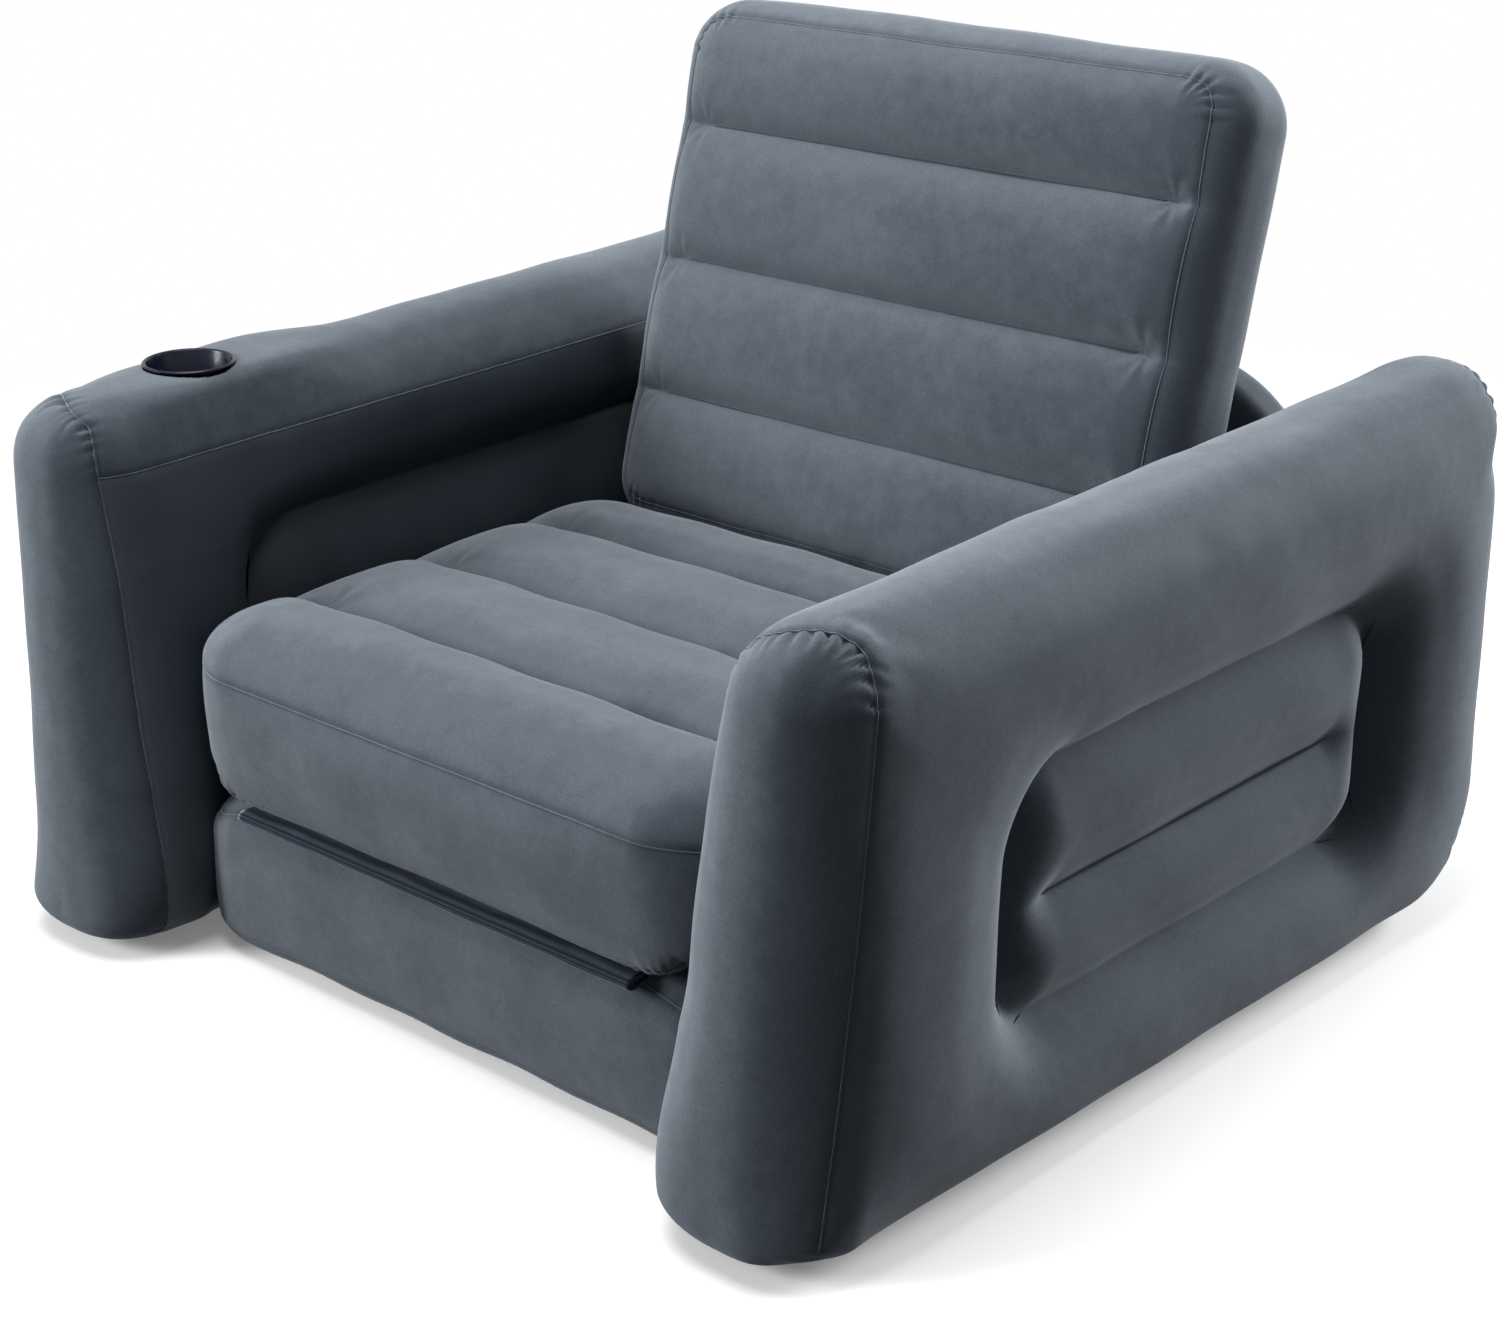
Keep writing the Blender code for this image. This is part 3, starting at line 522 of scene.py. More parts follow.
    def inflate(self, light: "Skin", held: np.ndarray, pressure: float, cap: float) -> None:
        """Blows the skin up with a cloth simulation of a lighter copy.

        Args:
            light: the same skin with a coarser lattice.
            held: how firmly each point of the light copy is held, from 0 to 1.
            pressure: the air pressure in the simulation.
            cap: the furthest that a point may move.
        """
        copy = mesh_object("light_copy", light.points, light.faces)
        group = copy.vertex_groups.new(name="held")
        for number, weight in enumerate(held):
            if weight > 0.01:
                group.add([number], float(weight), "REPLACE")
        cloth = copy.modifiers.new("cloth", "CLOTH").settings
        for stiffness, value in (("tension", 25), ("compression", 12), ("shear", 8), ("bending", 0.6)):
            setattr(cloth, f"{stiffness}_stiffness", value)
        cloth.quality = 6
        cloth.mass = 0.2
        cloth.use_pressure = True
        cloth.uniform_pressure_force = pressure
        cloth.effector_weights.gravity = 0.0
        cloth.vertex_group_mass = group.name
        scene = bpy.context.scene
        for frame in range(self.settling_frames):
            scene.frame_set(frame + 1)
        blown = np.empty(light.points.size)
        evaluated = copy.evaluated_get(bpy.context.evaluated_depsgraph_get())
        evaluated.data.vertices.foreach_get("co", blown)
        bpy.data.objects.remove(copy)
        scene.frame_set(1)
        move = blown.reshape(-1, 3) - light.points
        move *= np.minimum(1.0, cap / np.maximum(np.linalg.norm(move, axis=1), 1e-9))[:, None]
        tree = tree_of(light.points)
        taken = np.empty_like(self.points)
        for number, point in enumerate(self.points):
            hits = tree.find_n(point, self.carriers)
            weights = np.array([1 / (hit[2] + 0.002) for hit in hits])
            taken[number] = weights @ move[[hit[1] for hit in hits]] / weights.sum()
        self.points = self.points + self.evened(taken, rounds=4)

    def piece(self, name: str, chosen: Optional[np.ndarray] = None) -> bpy.types.Object:
        """The skin, or the chosen faces of it, as an object with the painted shade along its welds as an
        attribute.
        """
        faces = self.faces if chosen is None else self.faces[chosen]
        used, inverse = np.unique(faces, return_inverse=True)
        made = mesh_object(name, grounded(self.points[used]), inverse.reshape(-1, 4))
        painted_shade_attribute = made.data.attributes.new("painted_weld_shade", "FLOAT", "POINT")
        painted_shade_attribute.data.foreach_set("value", np.clip(self.painted_weld_shade[used], 0, 1).astype(np.float32))
        return made


def grounded(points: np.ndarray) -> np.ndarray:
    """The points, with those below the floor lifted to it."""
    return np.maximum(points, [-np.inf, -np.inf, 0.0])


def bead(name: str, track: Track, width: float = 0.0008, height: float = 0.0007) -> bpy.types.Object:
    """The thin raised line of a weld, laid half into the skin.

    Args:
        name: the piece's name.
        track: the weld.
        width: half its width.
        height: half its height.

    Returns:
        The bead as an object.
    """
    points, normals = track.points, track.normals
    if track.closed:
        points, normals = points[:-1], normals[:-1]
        ahead = unit(np.roll(points, -1, axis=0) - np.roll(points, 1, axis=0))
    else:
        ahead = unit(np.gradient(points, axis=0))
    side = unit(np.cross(ahead, normals))
    up = np.cross(side, ahead)
    sides, lift = 8, 0.35
    rings = []
    for n in range(sides):
        angle = 2 * math.pi * n / sides
        rings.append(points + side * width * math.cos(angle) + up * height * (math.sin(angle) + lift))
    count = len(points)
    faces = []
    for n in range(count if track.closed else count - 1):
        row, after = n * sides, (n + 1) % count * sides
        for m in range(sides):
            k = (m + 1) % sides
            faces.append([row + m, row + k, after + k, after + m])
    if not track.closed:
        faces.append(list(reversed(range(sides))))
        faces.append([(count - 1) * sides + m for m in range(sides)])
    return mesh_object(name, grounded(np.stack(rings, axis=1).reshape(-1, 3)), faces)


# Finishes


class Graph:
    """The nodes of a material or a world."""

    def __init__(self, owner: bpy.types.ID, shader: str = "Principled BSDF") -> None:
        """Starts from the nodes of a new material or world, with the name of its shader."""
        owner.use_nodes = True
        self.owner = owner
        self.tree = owner.node_tree
        self.shader = self.tree.nodes[shader]

    @cached_property
    def place(self) -> Socket:
        """The object's own coordinates."""
        return self.node("TexCoord", "Object")

    def put(self, value: object, target: Socket) -> None:
        """Links a socket to an input, or sets the input to a number or colour."""
        if isinstance(value, Socket):
            self.tree.links.new(value, target)
        else:
            target.default_value = value

    def node(self, kind: str, out: object, inputs: Optional[dict] = None, **settings: object) -> Socket:
        """Adds a node.

        Args:
            kind: its type, without the words that every type starts with.
            out: the name or number of the output that is wanted.
            inputs: sockets, numbers or colours, by the name or number of the input.
            settings: its other settings.

        Returns:
            The output.
        """
        made = self.tree.nodes.new(f"ShaderNode{kind}")
        for name, value in settings.items():
            setattr(made, name, value)
        for name, value in (inputs or {}).items():
            self.put(value, made.inputs[name])
        return made.outputs[out]

    def noise(self, scale: float, detail: float = 3.0, roughness: float = 0.5) -> Socket:
        """The value of a noise pattern on the object's coordinates."""
        inputs = {"Vector": self.place, "Scale": scale, "Detail": detail, "Roughness": roughness}
        return self.node("TexNoise", "Fac", inputs)

    def range(self, value: Socket, low: float, high: float, start: float, end: float) -> Socket:
        """A value moved from one range to another."""
        limits = {"From Min": low, "From Max": high, "To Min": start, "To Max": end}
        return self.node("MapRange", "Result", {"Value": value, **limits})

    def math(self, kind: str, first: object, second: object = 0.0) -> Socket:
        """A sum on two values or numbers."""
        return self.node("Math", 0, {0: first, 1: second}, operation=kind)

    def mix(self, share: Socket, first: object, second: object) -> Socket:
        """Two colours or colour sockets, mixed."""
        return self.node("Mix", 2, {"Factor": share, 6: first, 7: second}, data_type="RGBA")

    def bump(
        self, height: Socket, distance: float, strength: float, below: Optional[Socket] = None
    ) -> Socket:
        """Normals bent by a height, on top of any others."""
        inputs = {"Distance": distance, "Strength": strength, "Height": height}
        return self.node("Bump", "Normal", inputs if below is None else {**inputs, "Normal": below})

    def ramp(self, value: Socket, stops: Sequence[tuple[float, Rgb]]) -> Socket:
        """A colour picked by a value, eased between its stops."""
        picked = self.node("ValToRGB", "Color", {"Fac": value})
        ramp = picked.node.color_ramp
        ramp.interpolation = "EASE"
        while len(ramp.elements) < len(stops):
            ramp.elements.new(0.5)
        for element, (place, colour) in zip(ramp.elements, stops):
            element.position = place
            element.color = linear(*colour)
        return picked

    def scaled(self, colour: Socket, amount: Socket) -> Socket:
        """A colour made darker or paler by an amount."""
        return self.node("VectorMath", "Vector", {0: colour, "Scale": amount}, operation="SCALE")

    def waves(self, pitch: float) -> Socket:
        """A value that swings from -1 to 1 with the height, once every pitch."""
        height = self.node("SeparateXYZ", "Z", {0: self.place})
        return self.math("SINE", self.math("MULTIPLY", height, 2 * math.pi / pitch))

    def seen(self) -> Socket:
        """1 for what is seen straight or in a gloss, 0 for light that bounces."""
        path = self.node("LightPath", "Is Camera Ray").node.outputs
        return self.math("MAXIMUM", path["Is Camera Ray"], path["Is Glossy Ray"])

    def finish(self, inputs: dict) -> bpy.types.Material:
        """Sets the shader's inputs by their names and gives the material."""
        for name, value in inputs.items():
            self.put(value, self.shader.inputs[name])
        return self.owner

    def blend(self, share: Socket, first: Socket, second: Socket, output: str) -> None:
        """Gives the named output a mixture of two shaders."""
        mixed = self.node("MixShader", 0, {0: share, 1: first, 2: second})
        self.put(mixed, self.tree.nodes[output].inputs["Surface"])


@dataclass(frozen=True)
class FlockFinish:
    """Suede-like flock on vinyl: a dark colour with a painted sheen, paler where the surface is seen
    edge-on, and painted shade along the welds.
    """

    name: str = "flocked vinyl"
    # colours of the painted sheen, from seen face-on to seen edge-on
    facing: Rgb = (61, 68, 76)
    turned: Rgb = (86, 93, 101)
    slanted: Rgb = (106, 113, 121)
    edge: Rgb = (126, 133, 141)
    # pitch of the painted highlights and shade of fine ribs, or 0 for none
    painted_rib_pitch: float = 0.0
    blotch: float = 0.03
    # the colour's darkest share under the painted shade along the welds
    painted_weld_shade_shade: float = 0.72

    def made(self) -> bpy.types.Material:
        """The material."""
        graph = Graph(bpy.data.materials.new(self.name))
        broad = graph.noise(5.0, 2.0)
        rub = graph.noise(42.0, 5.0, 0.65)
        pile = graph.noise(700.0, 2.0)
        blotches = graph.math("ADD", graph.math("MULTIPLY", broad, 0.4), graph.math("MULTIPLY", rub, 0.6))
        uneven = graph.range(blotches, 0.38, 0.62, -self.blotch, self.blotch)
        # painted sheen: the colour turns paler where the surface is seen edge-on
        painted_sheen_share = graph.math("ADD", graph.node("LayerWeight", "Facing", {"Blend": 0.5}), uneven)
        stops = ((0.08, self.facing), (0.36, self.turned), (0.68, self.slanted), (1.0, self.edge))
        worn = graph.range(rub, 0.36, 0.64, 0.95, 1.05)
        grain = graph.math("MULTIPLY", graph.range(pile, 0.3, 0.7, 0.84, 1.16), worn)
        colour = graph.scaled(graph.ramp(painted_sheen_share, stops), grain)
        # painted highlights and shade of fine ribs that are not modelled: the colour rises and falls in
        # bands along the height
        if self.painted_rib_pitch:
            colour = graph.scaled(colour, graph.range(graph.waves(self.painted_rib_pitch), -1.0, 1.0, 0.45, 1.75))
        # painted shade: the colour is darkened along the welds, where shade falls
        painted_weld_shade = graph.node("Attribute", "Fac", attribute_name="painted_weld_shade")
        return graph.finish(
            {
                "Base Color": graph.scaled(colour, graph.range(painted_weld_shade, 0.0, 1.0, 1.0, self.painted_weld_shade_shade)),
                "Roughness": graph.range(rub, 0.3, 0.7, 0.84, 0.96),
                "Specular IOR Level": 0.10,
                "Sheen Weight": 0.16,
                "Sheen Roughness": 0.35,
                "Sheen Tint": linear(190, 198, 206),
                "Normal": graph.bump(pile, 0.0004, 0.40, graph.bump(rub, 0.0010, 0.25)),
            }
        )


@dataclass(frozen=True)
class VinylFinish:
    """Smooth unflocked vinyl, nearly black, with a soft shine."""

    name: str = "smooth vinyl"
    dark: Rgb = (27, 34, 42)
    light: Rgb = (38, 46, 54)
    low_roughness: float = 0.52
    high_roughness: float = 0.66
    shine: float = 0.30

    def made(self) -> bpy.types.Material:
        """The material."""
        graph = Graph(bpy.data.materials.new(self.name))
        broad = graph.noise(7.0)
        tone = graph.range(broad, 0.35, 0.65, 0.0, 1.0)
        soft = graph.bump(broad, 0.004, 0.15)
        return graph.finish(
            {
                "Base Color": graph.mix(tone, linear(*self.dark), linear(*self.light)),
                "Roughness": graph.range(broad, 0.3, 0.7, self.low_roughness, self.high_roughness),
                "Specular IOR Level": self.shine,
                "Normal": graph.bump(graph.noise(420.0, 2.0), 0.0003, 0.20, soft),
            }
        )


@dataclass(frozen=True)
class PlasticFinish:
    """Glossy moulded vinyl with faint flow marks."""

    name: str = "moulded plastic"
    dark: Rgb = (5, 10, 22)
    light: Rgb = (11, 20, 42)
    roughness: float = 0.24
    wear: float = 0.12

    def made(self) -> bpy.types.Material:
        """The material."""
        graph = Graph(bpy.data.materials.new(self.name))
        flow = graph.noise(60.0)
        tone = graph.range(flow, 0.35, 0.65, 0.0, 1.0)
        scuffs = graph.noise(240.0, 4.0)
        return graph.finish(
            {
                "Base Color": graph.mix(tone, linear(*self.dark), linear(*self.light)),
                "Roughness": graph.range(scuffs, 0.35, 0.7, self.roughness, self.roughness + self.wear),
                "Specular IOR Level": 0.20,
                "Coat Weight": 0.06,
                "Coat Roughness": 0.08,
                "Normal": graph.bump(flow, 0.0005, 0.15),
            }
        )


class Wardrobe:
    """The chair's materials, each made once, with the record's slot for what wears it."""

    def __init__(self) -> None:
        """Makes the materials."""
        # each set of four colours is a painted sheen, from seen face-on to seen edge-on
        weld_shades = ((58, 67, 76), (84, 94, 104), (120, 130, 139), (170, 178, 186))
        hinge_shades = ((22, 29, 36), (38, 46, 54), (64, 73, 82), (128, 137, 147))
        self.flock = (FlockFinish().made(), Slot.FLOCK)
        self.bead = (FlockFinish("weld bead", *weld_shades).made(), Slot.FLOCK)
        self.vinyl = (VinylFinish().made(), Slot.VINYL)
        self.hinge = (FlockFinish("hinge fabric", *hinge_shades, painted_rib_pitch=0.0030).made(), Slot.FILM)
        self.plastic = (PlasticFinish().made(), Slot.PLASTIC)
        self.film = VinylFinish("weld film", (34, 42, 52), (52, 62, 73), 0.55, 0.75, 0.25).made()
        self.valve = PlasticFinish("valve plastic", (22, 27, 33), (34, 40, 47), 0.34).made()

    @staticmethod
    def cover(piece: bpy.types.Object, material: bpy.types.Material) -> None:
        """Gives a piece one material in place of any others."""
        piece.data.materials.clear()
        piece.data.materials.append(material)

    def dress(
        self, piece: bpy.types.Object, body: Optional[str], material: bpy.types.Material, slot: Slot
    ) -> bpy.types.Object:
        """Gives a piece its material and its body.

        Args:
            piece: the piece.
            body: the CAD body that it moves with, or None for a piece that is left unattached.
            material: its material.
            slot: the record's slot for its finish; not used.

        Returns:
            The piece.
        """
        self.cover(piece, material)
        if body:
            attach(piece, body)
        log.info("%s: %d faces, rides on %s", piece.name, len(piece.data.polygons), body)
        return piece

    def pad(self, piece: bpy.types.Object, body: str, look: Look, replaced: Sequence[str]) -> None:
        """Dresses the skin of a chamber, in place of the CAD nodes that it replaces.

        Args:
            piece: the skin.
            body: the CAD body that it moves with.
            look: its material and its slot.
            replaced: names of the CAD nodes.
        """
        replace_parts(self.dress(piece, body, *look), *replaced)

    def bead_along(self, name: str, skin: Skin, track: Track, body: str) -> None:
        """Lays a weld's bead on a finished skin."""
        self.dress(bead(name, skin.laid(track.points, track.closed)), body, *self.bead)


# Chambers


CUP_PLACE = (-0.518, -0.3275)  # along X and Y


def channel_share(place: np.ndarray, creases: Sequence[float], first: float, last: float) -> np.ndarray:
    """Share of the crease depth at each place: 1 on a crease and 0 on each crest.

    Args:
        place: places along the row of channels.
        creases: where the creases are.
        first: the first crest.
        last: the last crest.

    Returns:
        The shares.
    """
    crests = [first, *[(a + b) / 2 for a, b in zip(creases, creases[1:])], last]
    share = np.zeros_like(place)
    for crease, *ends in zip(creases, crests, crests[1:]):
        for end in ends:
            part = (place - end) / (crease - end)
            inside = (part >= 0) & (part <= 1)
            share[inside] = part[inside] ** 2.8
    return share


def squarer(direction: np.ndarray, radii: np.ndarray, power: np.ndarray) -> np.ndarray:
    """How far points of round edges move out, to lie on a squarer curve than a circle.

    Args:
        direction: the outward direction of each point.
        radii: the edge's radius along each axis.
        power: 2 for a circle, more for a squarer curve.

    Returns:
        The moves.
    """
    reach = (np.abs(direction) ** power[:, None]).sum(axis=1) ** (1 / power)
    return radii * direction * (1 / reach - 1)[:, None]


def fall(distance: np.ndarray, reach: float, power: float) -> np.ndarray:
    """1 at no distance, falling to 0 at the reach, and the steeper at first the higher the power."""
    return np.clip(1 - distance / reach, 0, 1) ** power


@dataclass
class Arm:
    """One arm: a fat ring of air round a recessed panel, flocked outside and smooth inside."""

    side: Side
    outer_x: float = 0.585
    inner_x: float = 0.395
    front: float = -0.5775
    rear: float = 0.5775
    height: float = 0.596
    rear_rise: float = 0.028
    top_thickness: float = 0.134
    straight_height: float = 0.200
    front_round: float = 0.090
    rear_round: float = 0.070
    sole_round: float = 0.050
    crown_round: float = 0.070
    edge_power: float = 2.5
    softer: float = 0.3
    cup_power: float = 3.0
    cup_flat: tuple[float, float] = (0.060, 0.180)
    cup_hole: float = 0.0500
    cup_edge: float = 0.0502
    lean: float = 0.040
    lean_fade: float = 0.280
    lean_start: float = 0.045
    top_lean_out: float = 0.006
    recess: tuple[float, float, float, float] = (-0.2775, 0.3275, 0.142, 0.388)
    recess_corner: float = 0.062
    shoulder: float = 0.080
    puff: float = 0.066
    fold_width: float = 0.004
    fold_share: float = 0.3
    crease_height: float = 0.2576
    crease_width: float = 0.005
    crease_fade: tuple[float, float] = (0.012, 0.075)
    outer_depths: Place = (0.040, 0.007, 0.040)
    inner_depths: Place = (0.030, 0.010, 0.020)
    inner_lead: float = 0.075
    inner_rise: float = 0.040
    seam_y: float = 0.034
    rear_seam_y: float = 0.026
    seam_steps: tuple[float, float, float, float] = (0.020, 0.062, 0.020, 0.058)
    drift_reach: float = 0.22
    flock_edge: float = 0.526
    ring_belly: float = 0.015
    ring_margin: float = 0.020
    foot_belly: float = 0.018
    foot_height: float = 0.085
    foot_fade: tuple[float, float] = (-0.455, -0.400)
    foot_corner: float = 0.006
    foot_corner_height: float = 0.030
    foot_corner_reach: float = 0.070
    heel_round: float = 0.150
    heel_share: float = 0.92
    crown_share: float = 0.45
    weld_depth: float = 0.0012
    coarseness: float = 3.6
    pressure: float = 3.0
    cap: float = 0.006

    @property
    def name(self) -> str:
        """left_arm or right_arm."""
        return f"{self.side.name.lower()}_arm"

    @property
    def seams(self) -> tuple[float, float]:
        """Where the welds of the end band lie along the arm."""
        return self.front + self.seam_y, self.rear - self.rear_seam_y

    def spans(self) -> tuple[Span, Span, Span]:
        """The block that the arm is shaped from, as the right arm."""
        half = (self.outer_x - self.inner_x) / 2
        front_line, rear_line, low, high = self.recess
        marks = (*self.seams, front_line, rear_line)
        return (
            Span(self.inner_x, self.outer_x, half, half),
            Span(self.front, self.rear, self.front_round, self.rear_round, marks),
            Span(0.0, self.height, self.sole_round, self.crown_round, (low, self.crease_height, high)),
        )

    def weld_distance(self, y: np.ndarray, z: np.ndarray) -> np.ndarray:
        """Distance from the recess weld: positive on the panel, negative on the ring."""
        front_line, rear_line, low, high = self.recess
        corner = self.recess_corner
        beyond_y = np.abs(y - (front_line + rear_line) / 2) - (rear_line - front_line) / 2 + corner
        beyond_z = np.abs(z - (low + high) / 2) - (high - low) / 2 + corner
        outside = np.hypot(np.maximum(beyond_y, 0), np.maximum(beyond_z, 0))
        return corner - outside - np.minimum(np.maximum(beyond_y, beyond_z), 0)

    def recess_depth(self, y: np.ndarray, z: np.ndarray, depths: Place) -> np.ndarray:
        """How deep the side lies: the ring falls to the weld and the panel puffs inside it.

        Args:
            y: places along the arm.
            z: heights.
            depths: of the weld, of the panel's crests and of its crease.

        Returns:
            The depths.
        """
        weld, crest, crease = depths
        distance = self.weld_distance(y, z)
        apart = np.hypot(distance, self.fold_width) - self.fold_width * self.fold_share
        from_crease = fall(np.hypot(z - self.crease_height, self.crease_width), self.puff, 2.1)
        from_crease *= smooth(distance, *self.crease_fade)
        panel = crest + (weld - crest) * fall(apart, self.puff, 2.2) + (crease - crest) * from_crease
        edge = np.minimum.reduce([y - self.front, self.rear - y, z, self.height - z]) - self.ring_margin
        share = np.clip(-distance, 0, None) / np.maximum(-distance + np.maximum(edge, 0), 1e-6)
        tube = 4 * share * (1 - share) * self.ring_belly * (distance < 0)
        return np.where(distance > 0, panel, weld * fall(apart, self.shoulder, 2.4)) - tube

    def powers(self, place: np.ndarray, direction: np.ndarray) -> np.ndarray:
        """How square the edges are: softer at the sole, and flat on top where the cup holder stands."""
        ahead, up = -direction[:, 1], direction[:, 2]
        power = self.edge_power - self.softer * smooth(-up, 0.0, 0.6)
        if self.side is Side.RIGHT:
            return power - self.softer * smooth(direction[:, 0], 0.2, 0.6) * smooth(ahead, 0.0, 0.3)
        away = smooth(np.abs(place[:, 1] - CUP_PLACE[1]), *self.cup_flat)
        return power + self.cup_power * (1 - away) * smooth(up, 0.0, 0.4)

    def shape(self, place: np.ndarray, direction: np.ndarray) -> np.ndarray:
        """Shapes the block into the arm.

        Args:
            place: points of the block.
            direction: their outward directions.

        Returns:
            The points, squarer at the edges, tapered, recessed, leaning and drawn in at the rear corners.
        """
        out, back, up = direction.T
        side_round = np.full(len(place), (self.outer_x - self.inner_x) / 2)
        end_round = np.where(back < 0, self.front_round, self.rear_round)
        radii = np.stack([side_round, end_round, np.where(up > 0, self.crown_round, self.sole_round)])
        x, y, z = (place + squarer(direction, radii.T, self.powers(place, direction))).T
        from_rear = (self.rear - y) / (self.rear - self.front)
        leaning = np.maximum(z - self.straight_height, 0) / (self.height - self.straight_height)
        foot = self.foot_belly * hill(z - self.foot_height, self.foot_height)
        foot *= 1 - smooth(y, *self.foot_fade)
        inner = self.inner_x + (self.outer_x - self.top_thickness - self.inner_x) * leaning - foot
        share = (self.outer_x - x) / (self.outer_x - self.inner_x)
        x = self.outer_x - share * (self.outer_x - inner)
        corner = self.foot_corner * hill(z - self.foot_corner_height, self.foot_corner_reach)
        corner *= np.abs(out * back)
        x, y = x + np.sign(out) * corner, y + np.sign(back) * corner
        inwards = np.maximum(-out, 0) ** 2
        x = x - np.maximum(out, 0) ** 2 * self.recess_depth(y, z, self.outer_depths)
        x = x + inwards * self.recess_depth(y, z, self.inner_depths)
        front_line, rear_line, _, high_line = self.recess
        lead = tent(y, self.front + self.front_round, front_line, (front_line + rear_line) / 2)
        rise = tent(z, self.crease_height, high_line, self.height - self.crown_round)
        y, z = y - self.inner_lead * lead * inwards, z + self.inner_rise * rise * inwards
        over_start = np.maximum(z - self.lean_start, 0) / (self.height - self.lean_start)
        y = y + self.lean * smooth(from_rear, 0.0, self.lean_fade) * over_start
        if self.side is Side.LEFT:
            towards_top = smooth(z, 0.05, 0.60) * (1 - smooth(y, -0.45, 0.10))
            x = x + self.top_lean_out * towards_top * np.clip(1 - share, 0, 1)
        y, z = self.drawn_in(y, z, self.rear, 0.0, self.heel_share)
        y, z = self.drawn_in(y, z, self.rear + self.lean, self.height, self.crown_share)
        stretch = 1 + self.rear_rise * (1 - from_rear) / self.height
        return np.stack([x * self.side.value, y, z * stretch], axis=1)

    def drawn_in(
        self, y: np.ndarray, z: np.ndarray, corner_y: float, corner_z: float, share: float
    ) -> tuple[np.ndarray, np.ndarray]:
        """Draws one of the rear corners in.

        Args:
            y: places along the arm.
            z: heights.
            corner_y: the corner's place along the arm.
            corner_z: its height, 0 for the lower corner.
            share: how much of the corner is drawn in.

        Returns:
            The new places and heights.
        """
        way = 1 if corner_z > 0 else -1
        over_y = np.maximum(1 + (y - corner_y) / self.heel_round, 0)
        over_z = np.maximum(1 + way * (z - corner_z) / self.heel_round, 0)
        square = np.maximum(over_y, over_z) / np.maximum(np.hypot(over_y, over_z), 1e-9)
        pull = self.heel_round * share * (1 - square) * ((over_y > 0) & (over_z > 0))
        return y - pull * over_y, z - way * pull * over_z

    def drift(self, unrolled: np.ndarray) -> np.ndarray:
        """Slides the lattice so that its line at each end's weld slants as the weld does.

        Args:
            unrolled: unrolled places.

        Returns:
            The places with their Y moved.
        """
        x, y, z = unrolled.T
        low_outer, high_outer, high_inner, low_inner = self.seam_steps
        level = z / self.height
        inner = low_inner + (high_inner - low_inner) * level
        outer = low_outer + (high_outer - low_outer) * level**0.6
        wanted = inner + (outer - inner) * smooth(x, self.inner_x, self.outer_x)
        moved = y.copy()
        for end, inset, way, share in (
            (self.front, self.seam_y, 1, 1.0),
            (self.rear, self.rear_seam_y, -1, 0.5),
        ):
            felt = tent((y - end) * way, 0.0, inset, self.drift_reach)
            moved += way * (wanted - self.seam_y) * felt * share
        return np.stack([x, moved, z], axis=1)

    def end_line(self, seam: float) -> list[Place]:
        """A weld of the end band, from the outer foot over the top to the inner foot."""
        line = [(self.outer_x, seam, 0.0), (self.outer_x, seam, self.height)]
        return line + [(self.inner_x, seam, self.height), (self.inner_x, seam, 0.0)]

    def held(self, own: np.ndarray) -> np.ndarray:
        """How firmly welds, crease, floor and cup hold each point, from its unrolled place."""
        x, y, z = own.T
        distance = self.weld_distance(y, z)
        weld = ((x == self.outer_x) | (x == self.inner_x)) * hill(distance, 0.02)
        crease = 0.9 * (distance > -0.01) * hill(z - self.crease_height, 0.015)
        cup = (np.abs(y - CUP_PLACE[1]) < 0.09) & (self.side is Side.LEFT)
        return np.maximum.reduce([weld, crease, z < 0.02, cup])

    def gathers(self, total: float) -> list[Gather]:
        """The rows of folds on an end's weld of a given length: two on top and one at each foot."""
        top, foot = total / 2, 0.050
        return [
            Gather(top - 0.045, 0.070, 0.0060, 0.0155, 0.017),
            Gather(top + 0.060, 0.036, 0.0045, 0.0150, 0.015),
            *[Gather(place, 0.030, 0.0050, 0.0170, 0.018) for place in (foot, total - foot)],
        ]

    def build(self, wardrobe: Wardrobe) -> None:
        """Makes the arm's skins and beads.

        Args:
            wardrobe: the materials.
        """
        skin = Skin(self.spans(), self.shape, Matrix(), drift=self.drift)
        light = Skin(self.spans(), self.shape, Matrix(), self.coarseness, self.drift)
        skin.inflate(light, self.held(light.lattice.unrolled), self.pressure, self.cap)
        skin.push(0.0009 * ripple(skin.points, 0.16, 11 + self.side.value))
        front, rear = [skin.trace(self.end_line(seam), soften=8) for seam in self.seams]
        inner = skin.trace([(self.inner_x, seam, self.flock_edge) for seam in self.seams], soften=0)
        gathers = self.gathers(travelled(front.points)[-1])
        for track, seed, way in ((front, 5, -1), (rear, 9, 1)):
            skin.weld(track, self.weld_depth, 0.0045, gathers, seed + self.side.value, way)
        skin.weld(inner, 0.0010, 0.0040)
        kept = ~self.open_cup(skin) if self.side is Side.LEFT else True
        centre = skin.lattice.unrolled[skin.faces].mean(axis=1)
        vinyl = (skin.lattice.side == 0) & (centre[:, 2] < self.flock_edge)
        vinyl &= (centre[:, 1] > self.seams[0]) & (centre[:, 1] < self.seams[1])
        for part, faces, look, sheets in (
            ("flocked_skin", ~vinyl & kept, wardrobe.flock, ("outer_sheet", "end_band")),
            ("inner_vinyl", vinyl, wardrobe.vinyl, ("inner_sheet",)),
        ):
            replaced = [f"{self.name}_{sheet}" for sheet in sheets]
            wardrobe.pad(skin.piece(f"{self.name}_{part}", faces), "frame", look, replaced)
        for label, track in (("front", front), ("rear", rear), ("inner", inner)):
            wardrobe.bead_along(f"{self.name}_{label}_weld", skin, track, "frame")

